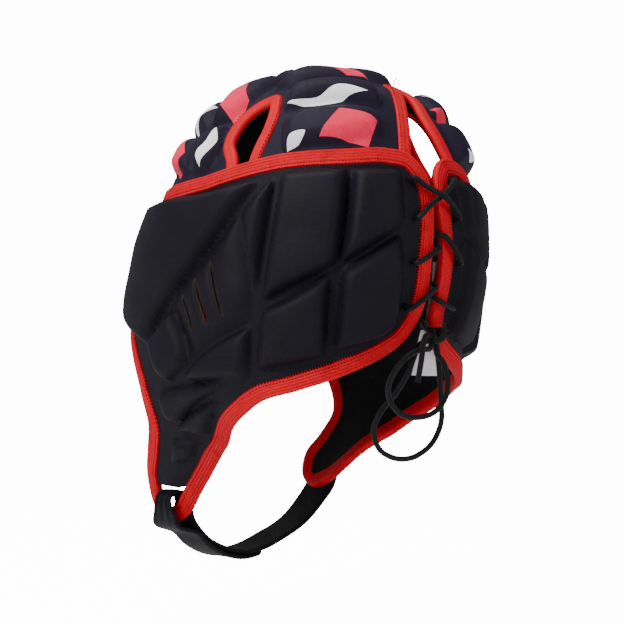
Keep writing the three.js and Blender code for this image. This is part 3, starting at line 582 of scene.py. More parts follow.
# A cloth: two near colours mixed by a soft noise, two thread directions as bump, sheen and roughness
def cloth(name, dark, light, roughness, sheen, threads, depth, turned=0.0, blotch=90.0, sheen_tint="#ffffff"):
    material, tree = empty_material(name)
    where = add(tree, "ShaderNodeTexCoord")
    noise = add(tree, "ShaderNodeTexNoise", values={"Scale": blotch, "Detail": 4.0, "Roughness": 0.6},
                links={"Vector": (where, "Object")})
    speckle = add(tree, "ShaderNodeTexNoise", values={"Scale": 1400.0, "Detail": 1.0},
                  links={"Vector": (where, "Object")})
    both = add(tree, "ShaderNodeMath", {"operation": "ADD"}, links={0: (noise, "Fac"), 1: (speckle, "Fac")})
    colour = add(tree, "ShaderNodeValToRGB", links={"Fac": (both, "Value")})
    colour.color_ramp.elements[0].position = 0.75
    colour.color_ramp.elements[1].position = 1.0
    colour.color_ramp.elements[0].color = linear(dark)
    colour.color_ramp.elements[1].color = linear(light)
    turn = add(tree, "ShaderNodeMapping", values={"Rotation": (0, 0, math.radians(turned))},
               links={"Vector": (where, "UV")})
    scale = WAVE_REPEAT / (threads * MM)
    threads_set = {"Scale": scale, "Distortion": 0.4}
    warp, weft = [add(tree, "ShaderNodeTexWave", {"bands_direction": way}, threads_set,
                      {"Vector": (turn, "Vector")}) for way in "XY"]
    weave = add(tree, "ShaderNodeMath", {"operation": "MULTIPLY"}, links={0: (warp, "Fac"), 1: (weft, "Fac")})
    bump = add(tree, "ShaderNodeBump", values={"Strength": depth, "Distance": 0.3 * MM},
               links={"Height": (weave, "Value")})
    shader = add(tree, "ShaderNodeBsdfPrincipled",
                 values={"Roughness": roughness, "Sheen Weight": sheen, "Sheen Roughness": 0.45,
                         "Sheen Tint": linear(sheen_tint), "Specular IOR Level": SPECULAR},
                 links={"Base Color": (colour, "Color"), "Normal": (bump, "Normal")})
    add(tree, "ShaderNodeOutputMaterial", links={"Surface": (shader, "BSDF")})
    return material


# Polyester stretch knit over foam: matt near-black with a violet cast. Threads drawn at 0.9 mm, real 0.4 mm
panel_knit = cloth("stretch_knit_black", "#060409", "#0d0914", 0.58, 0.02, 0.9, 0.35, 45, 60, "#8f88b5")
# The same knit printed by sublimation: dark plum ground, coral and lavender-white shapes
crown_knit = cloth("printed_knit_plum", "#0f0a19", "#181124", 0.6, 0.04, 0.9, 0.3, 45, 60, "#a49ad0")
coral_knit = cloth("printed_knit_coral", "#dc1840", "#ea264c", 0.7, 0.02, 0.9, 0.3, 45)
white_knit = cloth("printed_knit_white", "#f6f3ff", "#ffffff", 0.7, 0.05, 0.9, 0.3, 45)
# Brushed tricot lining: soft, dull and almost black
lining_knit = cloth("tricot_lining", "#050508", "#0b0a0f", 0.8, 0.02, 1.2, 0.2, 0, 60)
# Ribbed elastic edge tape: saturated red, cross threads at 0.8 mm
ribbed_elastic = cloth("ribbed_elastic_red", "#b00014", "#cc0019", 0.6, 0.0, 0.8, 0.5, 0, 120)
# Folded stretch tape of the vents: smooth and evenly red
folded_tape = cloth("folded_tape_red", "#b20014", "#ca0018", 0.55, 0.0, 0.7, 0.2, 0, 90)
# Red polyester thread, darker than the tape: partly its own colour, partly painted shade of the sewn dimples
stitch_red = cloth("polyester_thread_red", "#5e0008", "#74040c", 0.6, 0.0, 0.5, 0.1)
# Round braided elastic: black, strands crossing at 45 degrees, 1 mm apart
braid = cloth("braided_elastic_black", "#060607", "#0e0e11", 0.5, 0.04, 1.1, 0.9, 45, 200)
# Polyester webbing: black, twill threads 1 mm apart
webbing = cloth("polyester_webbing_black", "#06060a", "#0c0c11", 0.6, 0.03, 1.0, 0.8, 45, 80)
stitch_black = cloth("polyester_thread_black", "#0b0a0d", "#141215", 0.5, 0.03, 0.5, 0.1)
# Embroidery thread round the ear slits: brown-black with a soft gloss
embroidery = cloth("embroidery_thread_dark", "#17110f", "#261d19", 0.45, 0.03, 0.5, 0.1)
# Woven satin label: blank, lilac white, its colour darkened to a grey lilac as painted shade where it hangs
# inside the back
satin = cloth("satin_label_white", "#c4bfca", "#dad6e0", 0.4, 0.05, 0.6, 0.2, 0)
grey_tape = cloth("cotton_tape_grey", "#5d5753", "#77706a", 0.8, 0.1, 0.8, 0.5, 0)


# Tree that lays a small round thread on every place, along and off the cloth as its attributes say
def stitch_tree():
    tree = bpy.data.node_groups.new("laid_stitches", "GeometryNodeTree")
    tree.interface.new_socket("Places", in_out="INPUT", socket_type="NodeSocketGeometry")
    for name in ("Length", "Width", "Height"):
        tree.interface.new_socket(name, in_out="INPUT", socket_type="NodeSocketFloat")
    tree.interface.new_socket("Thread", in_out="INPUT", socket_type="NodeSocketMaterial")
    tree.interface.new_socket("Stitches", in_out="OUTPUT", socket_type="NodeSocketGeometry")
    sizes = add(tree, "NodeGroupInput")
    points = add(tree, "GeometryNodeMeshToPoints", links={"Mesh": (sizes, "Places")})
    bead = add(tree, "GeometryNodeMeshUVSphere", values={"Segments": 6, "Rings": 4, "Radius": 0.5})
    along = add(tree, "GeometryNodeInputNamedAttribute", {"data_type": "FLOAT_VECTOR"}, {"Name": "along"})
    off = add(tree, "GeometryNodeInputNamedAttribute", {"data_type": "FLOAT_VECTOR"}, {"Name": "off"})
    turn = add(tree, "FunctionNodeAxesToRotation", {"primary_axis": "X", "secondary_axis": "Z"},
               links={"Primary Axis": (along, "Attribute"), "Secondary Axis": (off, "Attribute")})
    vary = add(tree, "FunctionNodeRandomValue", {"data_type": "FLOAT"})
    vary.inputs[2].default_value = 0.85
    vary.inputs[3].default_value = 1.1
    vary.inputs["Seed"].default_value = 7
    varied = add(tree, "ShaderNodeMath", {"operation": "MULTIPLY"},
                 links={0: (sizes, "Length"), 1: (vary, 1)})
    size = add(tree, "ShaderNodeCombineXYZ",
               links={"X": (varied, "Value"), "Y": (sizes, "Width"), "Z": (sizes, "Height")})
    laid = add(tree, "GeometryNodeInstanceOnPoints",
               links={"Points": (points, "Points"), "Instance": (bead, "Mesh"),
                      "Rotation": (turn, "Rotation"), "Scale": (size, "Vector")})
    real = add(tree, "GeometryNodeRealizeInstances", links={"Geometry": (laid, "Instances")})
    thread = add(tree, "GeometryNodeSetMaterial",
                 links={"Geometry": (real, "Geometry"), "Material": (sizes, "Thread")})
    add(tree, "NodeGroupOutput", links={"Stitches": (thread, "Geometry")})
    return tree


stitch_nodes = stitch_tree()


def lay_stitches(name, places, along, off, length, width, height, thread, slot):
    mesh = bpy.data.meshes.new(name)
    mesh.from_pydata((np.asarray(places) * MM).tolist(), [], [])
    for key, values in (("along", along), ("off", off)):
        attribute = mesh.attributes.new(key, "FLOAT_VECTOR", "POINT")
        attribute.data.foreach_set("vector", np.asarray(values, dtype=np.float32).ravel())
    base = new_object(name + "_places", mesh)
    modifier = base.modifiers.new("stitches", "NODES")
    modifier.node_group = stitch_nodes
    wanted = {"Length": length * MM, "Width": width * MM, "Height": height * MM, "Thread": thread}
    for item in stitch_nodes.interface.items_tree:
        if item.in_out == "INPUT" and item.name in wanted:
            modifier[item.identifier] = wanted[item.name]
    view = bpy.context.evaluated_depsgraph_get()
    result = bpy.data.meshes.new_from_object(base.evaluated_get(view))
    result.name = name
    bpy.data.objects.remove(base)
    result.polygons.foreach_set("use_smooth", np.ones(len(result.polygons), dtype=bool))
    place(new_object(name, result), slot)


def place(piece, slot, *nodes):
    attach(piece, BODY)
    if nodes:
        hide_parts(*nodes)


# A tube round a line, with its own turning frame
def tube_rings(points, radius, sides):
    points = np.asarray(points, dtype=float)
    tangents = unit(np.gradient(points, axis=0))
    guide = np.array([0.0, 0.0, 1.0]) if abs(tangents[0][2]) < 0.9 else np.array([1.0, 0.0, 0.0])
    rings = []
    for point, tangent in zip(points, tangents):
        guide = guide - tangent * guide.dot(tangent)
        guide /= np.linalg.norm(guide)
        other = np.cross(tangent, guide)
        turns = 2 * np.pi * np.arange(sides) / sides
        rings.append(point + radius * (np.cos(turns)[:, None] * guide + np.sin(turns)[:, None] * other))
    return np.array(rings)


def tube(name, points, radius, material, sides=14):
    rings = tube_rings(points, radius, sides)
    around = 2 * np.pi * radius * np.arange(sides) / sides
    return swept(name, rings, [material], around)


# Edges of both sides, walked from the forehead over the back
EDGE_STEPS = 24


def whole_edge(tip, steps):
    return smooth_line(TOP + LACING + NECK + FLAP + tip + FACE, steps)


left_edge = whole_edge(LEFT_TIP, EDGE_STEPS)
right_edge = on_right(whole_edge(RIGHT_TIP, EDGE_STEPS))
coarse_left_edge = whole_edge(LEFT_TIP, 2)
SEAM = 180.0


def to_seam(line):
    line = np.array(line, dtype=float)
    line[:, 0] = np.sign(line[:, 0]) * np.minimum(np.abs(line[:, 0]), SEAM)
    return line


SIDES = {"left": (left_edge, 1, on_left), "right": (right_edge, -1, on_right)}


def eyelet_place(side, row):
    _, inwards, placed = SIDES[side]
    distance = BINDING_WIDTH + GAP + EYELET_INSET
    return beside(placed(EYELETS[row]), np.array([0, -1.0]), inwards * distance)


# The lace and its bow
LACE_ROUTE = [
    (0.5, -9.3, 3.8), (0.9, -8.4, -0.3), (3.4, -7.4, -2.7),
    ("left", 3, "out"), (1.3, 2, 7), (0.3, 2.5, 5), (-0.3, 2.9, -0.6), (-1.3, 3.4, -2.7),
    ("right", 2, "out"), (-1.3, 16, 7), (-0.3, 16.5, 5), (0.3, 16.9, -0.6), (1.3, 17.4, -2.7),
    ("left", 1, "out"), (4.5, 23.6, 6.8), (0, 26, 6.8), (-4.5, 28.4, 6.8),
    ("right", 0, "in"), (0, 31.6, -2.9), ("left", 0, "out"),
    (5, 28.6, 8), (0, 26, 10.2), (-5, 23.6, 8), ("right", 1, "in"),
    (-1.3, 14.2, -2.7), (-0.3, 13.7, -0.6), (0.3, 13.3, 5), (1.3, 12.8, 7), ("left", 2, "in"),
    (1.3, -0.2, -2.7), (0.3, -0.6, -0.6), (-0.3, -1, 5), (-1.3, -1.4, 7), ("right", 3, "in"),
    (-4.8, -8, -2.8), (-2.4, -9.8, -2), (-1.9, -10.9, 1.2)]
LACE_LIFTS = (-2.6, 1.5, 6.6)
SMALL_LOOP = [(4.2, 1.5, -3.8), (14, 3, -6.4), (23, 4, -9), (32, 4, -15.5), (37, 3, -24.5), (35, 2.6, -33),
              (27, 2.4, -39.5), (15, 2.4, -41.5), (3, 2.6, -39), (-4.6, 3, -32), (-5.8, 3.4, -23.5),
              (-3.2, 3.2, -14), (0.6, 1.4, -5.6)]
LARGE_LOOP = [(3.8, -3.6, -2.6), (9, -6.4, -10), (14, -6, -18.5), (23, -6, -29), (34, -6, -38.5),
              (39.5, -5.5, -47.5), (36, -5, -57), (25, -4.6, -62.5), (11, -4.6, -62.5), (-3, -4.8, -55.5),
              (-9.5, -5, -45), (-9.6, -5.2, -33), (-8, -4.6, -20.5), (-3.6, -2.4, -5)]
LONG_TAIL = [(5.6, 1.6, 0.6), (14, 5.4, -2), (18, 7.8, -11), (20, 7, -23)]
SHORT_TAIL = [(-5.4, 2, 0.6), (-9, 3, 0), (-12.5, 3.6, -2.4)]
KNOT_MIDDLE = head_point(np.array([-2.4, -12.0]), 11.0)


def from_knot(target):
    way = unit(target - KNOT_MIDDLE)
    start = KNOT_DIAMETER / 2 + GAP
    return [KNOT_MIDDLE + way * away for away in (start, start + 1.1 * LACE_DIAMETER)]


# The drawn cord starts inside the tied knot, where the solid starts at its ball
def into_knot(line, both):
    start = KNOT_MIDDLE + (line[0] - KNOT_MIDDLE) * 0.45
    end = KNOT_MIDDLE + (line[-1] - KNOT_MIDDLE) * 0.45
    return np.vstack([[start], line] + ([[end]] if both else []))


def lace_points():
    points = []
    for row in LACE_ROUTE:
        if isinstance(row[0], str):
            lifts = LACE_LIFTS if row[2] == "out" else LACE_LIFTS[::-1]
            middle = eyelet_place(row[0], row[1])
            points += [head_point(middle, lift) for lift in lifts]
        else:
            points.append(head_point(np.array(row[:2], dtype=float), row[2]))
    return from_knot(points[0]) + points[1:-1] + from_knot(points[-1])[::-1]


def bow_points(route, both):
    way = [KNOT_MIDDLE + np.array(point) for point in route]
    if both:
        return from_knot(way[0]) + way[1:-1] + from_knot(way[-1])[::-1]
    return from_knot(way[0]) + way[1:]


def build_lace():
    smooth = smooth_line(lace_points(), 7)
    piece = tube("lace_through_eyelets", into_knot(smooth, True), LACE_DIAMETER / 2, braid, 12)
    place(piece, "lace", "lace")
    short = smooth_line(bow_points(SHORT_TAIL, False), 8)
    short_piece = tube("bow_short_tail", into_knot(short, False), LACE_DIAMETER / 2, braid)
    place(short_piece, "lace", "lace_short_tail")
    knot = build_knot()
    for name, node, route, both in (("bow_small_loop", "lace_small_loop", SMALL_LOOP, True),
                                    ("bow_large_loop", "lace_large_loop", LARGE_LOOP, True),
                                    ("bow_long_tail", "lace_long_tail", LONG_TAIL, False)):
        line = into_knot(smooth_line(bow_points(route, both), 10), both)
        piece = tube(name, line, LACE_DIAMETER / 2, braid)
        place(piece, "lace", node)


# The knot: three drawn-up turns of the lace
def build_knot():
    vertices, faces = [], []
    steps, sides, cord_radius = 40, 12, 1.7
    turns = [((0.2, 0.2, 1.0), 3.6, (0.5, 0.3, -0.8)), ((0.9, 0.35, 0.5), 3.4, (-0.4, 0.6, 0.5)),
             ((-0.5, 0.8, 0.45), 3.3, (0.3, 0.2, 0.6))]
    for axis, radius, shift in turns:
        axis = np.array(axis) / np.linalg.norm(axis)
        first = np.cross(axis, (0.0, 0.0, 1.0) if abs(axis[2]) < 0.9 else (1.0, 0.0, 0.0))
        first /= np.linalg.norm(first)
        second = np.cross(axis, first)
        start = len(vertices)
        for i in range(steps):
            t = 2 * np.pi * i / steps
            out = np.cos(t) * first + np.sin(t) * second
            middle = KNOT_MIDDLE + np.array(shift) + out * radius * (1 + 0.08 * np.sin(2 * t))
            for j in range(sides):
                s = 2 * np.pi * j / sides
                vertices.append(middle + (np.cos(s) * out + np.sin(s) * axis) * cord_radius)
        for i in range(steps):
            for j in range(sides):
                k, m = (i + 1) % steps, (j + 1) % sides
                faces.append((start + i * sides + j, start + k * sides + j, start + k * sides + m,
                              start + i * sides + m))
    uv = [(0.0006 * (i // sides), 0.0008 * (i % sides)) for i in range(len(vertices))]
    piece = new_mesh("tied_knot", vertices, faces, [braid], None, uv)
    outward(piece)
    place(piece, "lace", "lace_knot")
    return piece


# Side panels
def grid_on_side(low, high, start, stop):
    points = []
    for i, latitude in enumerate(np.arange(low, high, CHART_STEP)):
        per_angle, _ = slopes_at(np.array([70.0, latitude]))
        step = GRID / np.linalg.norm(per_angle)
        angles = np.arange(start + (i % 2) * step / 2, stop, step)
        points.append(np.stack([angles, np.full(len(angles), latitude)], axis=-1))
    return np.vstack(points)


def slit_outline(placed, top, bottom, width):
    ends = placed([top, bottom])
    shares = np.linspace(0, 1, 25)[:, None]
    middle = ends[0] + shares * (ends[1] - ends[0])
    travel = np.tile(ends[1] - ends[0], (len(middle), 1))
    half = width / 2 * np.sqrt(np.clip(1 - (2 * shares[:, 0] - 1) ** 4, 0.0, 1))
    ways = [np.array([beside(m, t, way * max(h, 0.02)) for m, t, h in zip(middle, travel, half)])
            for way in (1, -1)]
    return np.vstack([ways[0], ways[1][::-1][1:-1]])


def eyelet_outline(side, row):
    middle = eyelet_place(side, row)
    turns = 2 * np.pi * np.arange(16) / 16
    ways = [np.array([math.cos(turn), math.sin(turn)]) for turn in turns]
    return np.array([beside(middle, way, EYELET_DIAMETER / 2) for way in ways])


def build_panel(side):
    edge, inwards, placed = SIDES[side]
    outline = to_seam(even_steps(line_beside(edge, inwards * (BINDING_WIDTH - CLOTH_UNDER_TAPE)), GRID))
    holes = [slit_outline(placed, top, bottom, SLIT_WIDTH) for top, bottom in EAR_SLITS]
    holes += [eyelet_outline(side, row) for row in range(len(EYELETS))]
    if side == "left":
        holes.append(np.array(FLAP_CUT, dtype=float))
    points = grid_on_side(-64, 44, 0.2, 180)
    if side == "right":
        points = points * np.array([-1, 1])
    points = points[inside(points, outline)]
    for hole in holes:
        points = points[~inside(points, hole)]
    scales = metric(SideChart, points)
    far = line_distance(points, scales, outline) > GRID * 0.6
    for hole in holes:
        far &= line_distance(points, scales, hole) > GRID * 0.6
    points = points[far]
    pads = [(share, placed(corners)) for share, corners in PANEL_PADS]

    def lift_of(flat):
        at = metric(SideChart, flat)
        limit = line_distance(flat, at, outline) - 1.5
        for hole in holes[:3]:
            limit = np.minimum(limit, line_distance(flat, at, hole) * 2.5 + 5)
        lift = pad_lift(flat, at, pads, PANEL_MARGIN, PANEL_PAD_HEIGHT, limit,
                        lambda share: PAD_RUNS.get(share, PAD_ROUND), PAD_SPREAD)
        angle, latitude = flat[:, 0], flat[:, 1]
        soft = 0.22 * np.sin(angle * 0.21 + latitude * 0.13)
        soft += 0.16 * np.sin(angle * 0.09 - latitude * 0.34 + 1)
        fade = np.clip((lift - PANEL_MARGIN) / 3, 0, 1)
        return lift + soft * fade

    piece = padded_shell(side + "_padded_panel", SideChart, outline, holes, [], points, lift_of,
                         lambda middles: np.zeros(len(middles)), [panel_knit, lining_knit])
    place(piece, "panel", side + "_panel")
    build_slit_edges(side, placed, lift_of)


# Satin stitches laid across the edges of the ear slits
def build_slit_edges(side, placed, lift_of):
    places, along, off = [], [], []
    for top, bottom in EAR_SLITS:
        outline = slit_outline(placed, top, bottom, SLIT_WIDTH + SLIT_EDGE)
        closed = np.vstack([outline, outline[:1]])
        line = even_steps(closed, 0.55, 6)[:-1]
        spots = head_point(line, lift_of(line) + THREAD_LIFT)
        normals = outwards(line)
        step = np.roll(spots, -1, axis=0) - np.roll(spots, 1, axis=0)
        places.append(spots)
        along.append(unit(np.cross(step, normals)))
        off.append(normals)
    lay_stitches(side + "_slit_embroidery", np.vstack(places), np.vstack(along), np.vstack(off),
                 SLIT_THREAD, 0.66, 0.8, embroidery, "panel")


# Edge tape: profile in millimetres across from the open edge and up from the head
TAPE_PROFILE = [
    (0.0, 1.8), (0.05, 2.9), (0.45, 3.8), (1.0, 4.3), (1.6, 4.35), (2.05, 3.85), (2.5, 4.3), (3.2, 4.35),
    (3.65, 3.85), (4.1, 4.3), (4.8, 4.3), (5.25, 3.8), (5.7, 4.15), (6.4, 4.15), (6.9, 3.7), (7.4, 3.95),
    (8.3, 3.85), (8.75, 3.1), (7.6, -0.35), (4.0, -0.5), (1.0, -0.35), (0.2, 0.5)]
TEETH = {16: 0.35, 17: 0.75}
TOOTH = 0.72
TAPE_STITCH_STEP = 1.7
TAPE_STITCH_PLACE = 6.9
FOLDED_PROFILE = [
    (-0.9, 2.4), (-0.6, 3.3), (0.3, 3.75), (2.4, 3.9), (2.9, 3.6), (3.4, 3.85), (5.4, 3.6), (6.2, 2.9),
    (6.6, 1.6), (6.1, 0.2), (4.5, -0.4), (1.5, -0.5), (-0.6, -0.1)]


def build_panel_tape(side):
    edge, inwards, _ = SIDES[side]
    line = even_steps(to_seam(edge), TOOTH)
    inner = to_seam(line_beside(line, inwards * BINDING_WIDTH))
    across = inner - line
    tooth = np.where(np.arange(len(line)) % 2 == 0, 1.0, -1.0)
    pairs = []
    for j, (w, lift) in enumerate(TAPE_PROFILE):
        wide = w + TEETH.get(j, 0) * tooth
        pairs.append((line + across * (wide / BINDING_WIDTH)[:, None], lift))
    piece = band(side + "_edge_tape", pairs, ribbed_elastic, [w for w, _ in TAPE_PROFILE])
    place(piece, "binding", side + "_panel_binding")
    rows = even_steps(to_seam(edge), TAPE_STITCH_STEP)
    across = to_seam(line_beside(rows, inwards * BINDING_WIDTH)) - rows
    sewn = rows + across * (TAPE_STITCH_PLACE / BINDING_WIDTH)
    lay_row(side + "_edge_tape_stitches", sewn, 3.8, 1.25, 0.6, 0.5, stitch_red, "binding")


def lay_row(name, line, lift, length, width, height, thread, slot):
    spots = head_point(line, lift)
    step = unit(np.gradient(spots, axis=0))
    lay_stitches(name, spots, step, outwards(line), length, width, height, thread, slot)


# A band over the form, from the places and the lift of each point of its profile
def band(name, pairs, material, around):
    rings = np.array([head_point(places, lift) for places, lift in pairs])
    return swept(name, rings.transpose(1, 0, 2), [material], around)


# Crown
def crown_outline(distance):
    steps = EDGE_STEPS * (len(TOP) - 1) + 1
    left = line_beside(left_edge, distance)[:steps]
    right = line_beside(right_edge, -distance)[1:steps]
    places = np.vstack([right[::-1], left])
    return TopChart.to_flat(even_steps_open(places))


def even_steps_open(places):
    flat = TopChart.to_flat(places)
    along = run_along(flat)
    at = np.linspace(0, along[-1], int(along[-1] / CHART_STEP))
    return TopChart.to_form(resampled(flat, along, at))


def vent_line(name, steps):
    return smooth_line(TopChart.to_flat(VENTS[name]), steps)


def build_crown():
    outline = crown_outline(CROWN_OVERLAP)
    cuts = [vent_line(name, 6) for name in VENTS]
    shapes = [[straight_line(shape, 9) for shape in CORAL_SHAPES],
              [smooth_line(shape + shape[:1], 9)[:-1] for shape in WHITE_SHAPES]]
    drawn = shapes[0] + shapes[1]
    across = np.arange(-62, 62, CROWN_GRID)
    points = np.array([(x + CROWN_GRID / 2 * (i % 2), y) for i, y in enumerate(across) for x in across])
    points = points[inside(points, outline)]
    for cut in cuts:
        points = points[~inside(points, cut)]
    scales = metric(TopChart, points)
    far = line_distance(points, scales, outline) > GRID * 0.5
    for line in cuts + drawn:
        far &= line_distance(points, scales, line) > GRID * 0.4
    points = points[far]

    def lift_of(flat):
        at = metric(TopChart, flat)
        limit = line_distance(flat, at, outline) - 2.6
        for cut in cuts:
            limit = np.minimum(limit, line_distance(flat, at, cut) - 0.6)
        lift = pad_lift(flat, at, CROWN_PADS, CROWN_MARGIN, CROWN_PAD_HEIGHT, limit,
                        lambda share: CROWN_ROUND, CROWN_SPREAD)
        soft = 0.25 * np.sin(flat[:, 0] * 0.23 + flat[:, 1] * 0.17) + 0.2 * np.sin(flat[:, 1] * 0.31 + 2)
        return lift + soft * np.clip((lift - CROWN_MARGIN) / 3, 0, 1)

    def kind_of(middles):
        kinds = np.zeros(len(middles))
        for number, group in ((1, shapes[0]), (2, shapes[1])):
            for shape in group:
                kinds[inside(middles, shape)] = number
        return kinds

    piece = padded_shell("padded_crown", TopChart, outline, cuts, drawn, points, lift_of, kind_of,
                         [crown_knit, coral_knit, white_knit, lining_knit])
    place(piece, "crown", "crown")


def build_vent_tape(name):
    line = even_steps_open(TopChart.to_form(vent_line(name, 30)))
    line = line[inside(TopChart.to_flat(line), crown_outline(VENT_END))]
    inner = line_beside(line, VENT_WIDTH)
    flat_line, flat_inner = TopChart.to_flat(line), TopChart.to_flat(inner)
    pairs = [(TopChart.to_form(flat_line + (flat_inner - flat_line) * (w / VENT_WIDTH)), lift)
             for w, lift in FOLDED_PROFILE]
    piece = band(name.replace("binding", "tape"), pairs, folded_tape, [w for w, _ in FOLDED_PROFILE])
    place(piece, "vent_binding", name)
    sewn = even_steps(TopChart.to_form(flat_line), 1.9)
    lay_row(name.replace("binding", "stitches"), sewn, 3.8, 1.3, 0.5, 0.4, stitch_red, "vent_binding")


# Chin strap: the run and the fold in the plane across the head, in millimetres
STRAP_RUN = [(-1.31, -0.75), (-1.27, -0.41), (-1.22, -0.15), (-1.08, 0.11), (-0.83, 0.42), (-0.515, 0.67),
             (-0.2, 0.84), (0.12, 0.89), (0.4, 0.81), (0.615, 0.64), (0.765, 0.42)]
STRAP_LAP_END = 6
STRAP_FOLD = [("foot_inside", -3.4, 0), ("top_inside", -3.9, 3), ("top_inside", -1.8, 6.5),
              ("top_inside", 1.8, 7.7), ("top_outside", 1.8, 9.2), ("top_outside", 5, 7),
              ("top_outside", 4.9, 2.8), ("foot_outside", 6.4, 4), ("foot_outside", 3.6, -1.3)]
BAR_ANGLE = 137
STRAP_FORWARD = 3
FOLD_BACK = 1.4
STRAP_AT_BAR = 12.5
FOLD_DEPTH = 6
STRAP_TAPER = 20
STRAP_STEP = 0.9
SEWN_COLUMNS = (2, 22)


def bar_section():
    low = [i for i, row in enumerate(coarse_left_edge) if row[1] < -50]
    i = min(low, key=lambda k: abs(coarse_left_edge[k][0] - BAR_ANGLE))
    travel = coarse_left_edge[i + 1] - coarse_left_edge[i - 1]
    foot = coarse_left_edge[i]
    top = beside(foot, travel, BINDING_WIDTH)
    return {"top_inside": head_point(top, 0.0), "top_outside": head_point(top, float(BINDING_THICKNESS)),
            "foot_inside": head_point(foot, 0.0), "foot_outside": head_point(foot, float(BINDING_THICKNESS))}


def plane_beside(line, distance):
    before, after = np.vstack([line[:1], line[:-1]]), np.vstack([line[1:], line[-1:]])
    travel = unit(after - before)
    return line + distance * np.stack([travel[:, 1], -travel[:, 0]], axis=-1)


def build_strap():
    bar = bar_section()
    corner, top = bar["top_inside"], bar["top_inside"][2]
    under = np.array([(across * corner[0], top - drop * STRAP_DROP) for across, drop in STRAP_RUN])
    fold = np.array([(bar[name][0] + out, bar[name][2] + up) for name, out, up in STRAP_FOLD])
    lap = plane_beside(under, STRAP_THICKNESS + GAP)[STRAP_LAP_END:][::-1]
    middle = smooth_line(np.vstack([under, fold, lap]), 12)
    along = run_along(middle)
    at = np.linspace(0, along[-1], int(along[-1] / STRAP_STEP))
    middle = resampled(middle, along, at)
    travel = unit(np.gradient(middle, axis=0))
    normal = np.stack([travel[:, 1], -travel[:, 0]], axis=-1)
    low = top + FOLD_DEPTH - STRAP_TAPER
    share = np.clip((middle[:, 1] - low) / STRAP_TAPER, 0, 1) * (middle[:, 0] > 0)
    share = share ** 2 * (3 - 2 * share)
    half = STRAP_WIDTH / 2 + (STRAP_AT_BAR - STRAP_WIDTH) / 2 * share
    from_end = at[-1] - at
    half = half * np.sqrt(np.clip(1 - np.clip(1 - from_end / 9, 0, 1) ** 2.4, 0.06, 1))
    centre = corner[1] - STRAP_FORWARD + (STRAP_FORWARD + FOLD_BACK) * share
    u = np.linspace(-1, 1, 25)
    ripple = 0.35 * np.sin(at / 6.5)[:, None] * u ** 2 + 0.25 * np.sin(at / 11 + 1)[:, None] * u
    pleats = 0.75 * share[:, None] * np.cos(u * 3 * np.pi)
    offset = ripple * (1 - share)[:, None] + pleats
    thick = (STRAP_THICKNESS / 2 - 0.15) * np.where(np.abs(u) > 0.97, 0.45, 1.0) - 0.25 * share[:, None]
    rows = []
    for way, order in ((1, slice(None)), (-1, slice(None, None, -1))):
        shift = offset[:, order] + way * np.broadcast_to(thick, offset.shape)[:, order]
        x = middle[:, :1] + normal[:, :1] * shift
        z = middle[:, 1:] + normal[:, 1:] * shift
        y = centre[:, None] + half[:, None] * u[order]
        rows.append(np.stack([x, y, z], axis=-1))
    rings = np.concatenate(rows, axis=1)
    around = np.concatenate([u * 12, 40 + u * 12])
    piece = swept("webbing_chin_strap", rings, [webbing], around)
    place(piece, "strap", "chin_strap")
    # Rows of sewing along both edges, on both faces
    places, ways, offs = [], [], []
    for face in (0, 1):
        for column in SEWN_COLUMNS:
            number = column if face == 0 else 2 * len(u) - 1 - column
            row = rings[2:-6:3, number]
            places.append(row)
            ways.append(unit(np.gradient(row, axis=0)))
            offs.append(np.insert(normal[2:-6:3], 1, 0, axis=1))
    lay_stitches("chin_strap_stitches", np.vstack(places), np.vstack(ways), np.vstack(offs), 2.0, 0.5, 0.4,
                 stitch_black, "strap")


# Blank label sewn inside the back, its sides a little curled
LABEL_TOP = (-10.2, -13.2)
LABEL_LEAN = 2.4
LABEL_SIZE = (22, 26)


def build_label():
    top = np.array(LABEL_TOP)
    along = beside(top, np.array([-1.0, 0]), float(LABEL_SIZE[1]))
    bottom = np.array([top[0] - LABEL_LEAN, min(along[1], 2 * top[1] - along[1])])
    columns, rows = 13, 15
    grid = []
    for v in np.linspace(0, 1, rows):
        middle = top + (bottom - top) * v
        for u in np.linspace(-0.5, 0.5, columns):
            spot = beside(middle, np.array([0, -1.0]), u * LABEL_SIZE[0]) if u else middle
            curl = -0.35 - 0.5 * v * (2 * u) ** 2 - 0.4 * v * math.sin(3 * v + 2 * u)
            grid.append((spot, curl))
    places = np.array([spot for spot, _ in grid])
    lifts = np.array([curl for _, curl in grid])
    sheet = np.vstack([head_point(places, lifts), head_point(places, lifts - 0.35)])
    count = columns * rows
    faces = []
    for i in range(rows - 1):
        for j in range(columns - 1):
            a, d = i * columns + j, (i + 1) * columns + j
            b, c = a + 1, d + 1
            faces += [(a, b, c, d), (d + count, c + count, b + count, a + count)]
    rim = ([j for j in range(columns)] + [i * columns + columns - 1 for i in range(1, rows)]
           + [(rows - 1) * columns + j for j in range(columns - 2, -1, -1)]
           + [i * columns for i in range(rows - 2, 0, -1)])
    for p, q in zip(rim, rim[1:] + rim[:1]):
        faces.append((q, p, p + count, q + count))
    uv = [((k % columns) / columns * 0.022, (k % count) // columns / rows * 0.026) for k in range(2 * count)]
    piece = new_mesh("blank_care_label", sheet, faces, [satin], None, uv)
    outward(piece)
    place(piece, "label", "care_label")


# Both panels meet in the middle of the forehead, under a narrow band with a row of stitches
FOREHEAD_LINE = [(180.0, 36.0), (180.0, -3.5)]
FOREHEAD_PROFILE = [(-2.2, -0.5), (-2.2, 0.3), (-1.0, 2.9), (-0.4, 3.4), (0.4, 3.4), (1.0, 2.9), (2.2, 0.3),
                    (2.2, -0.5)]


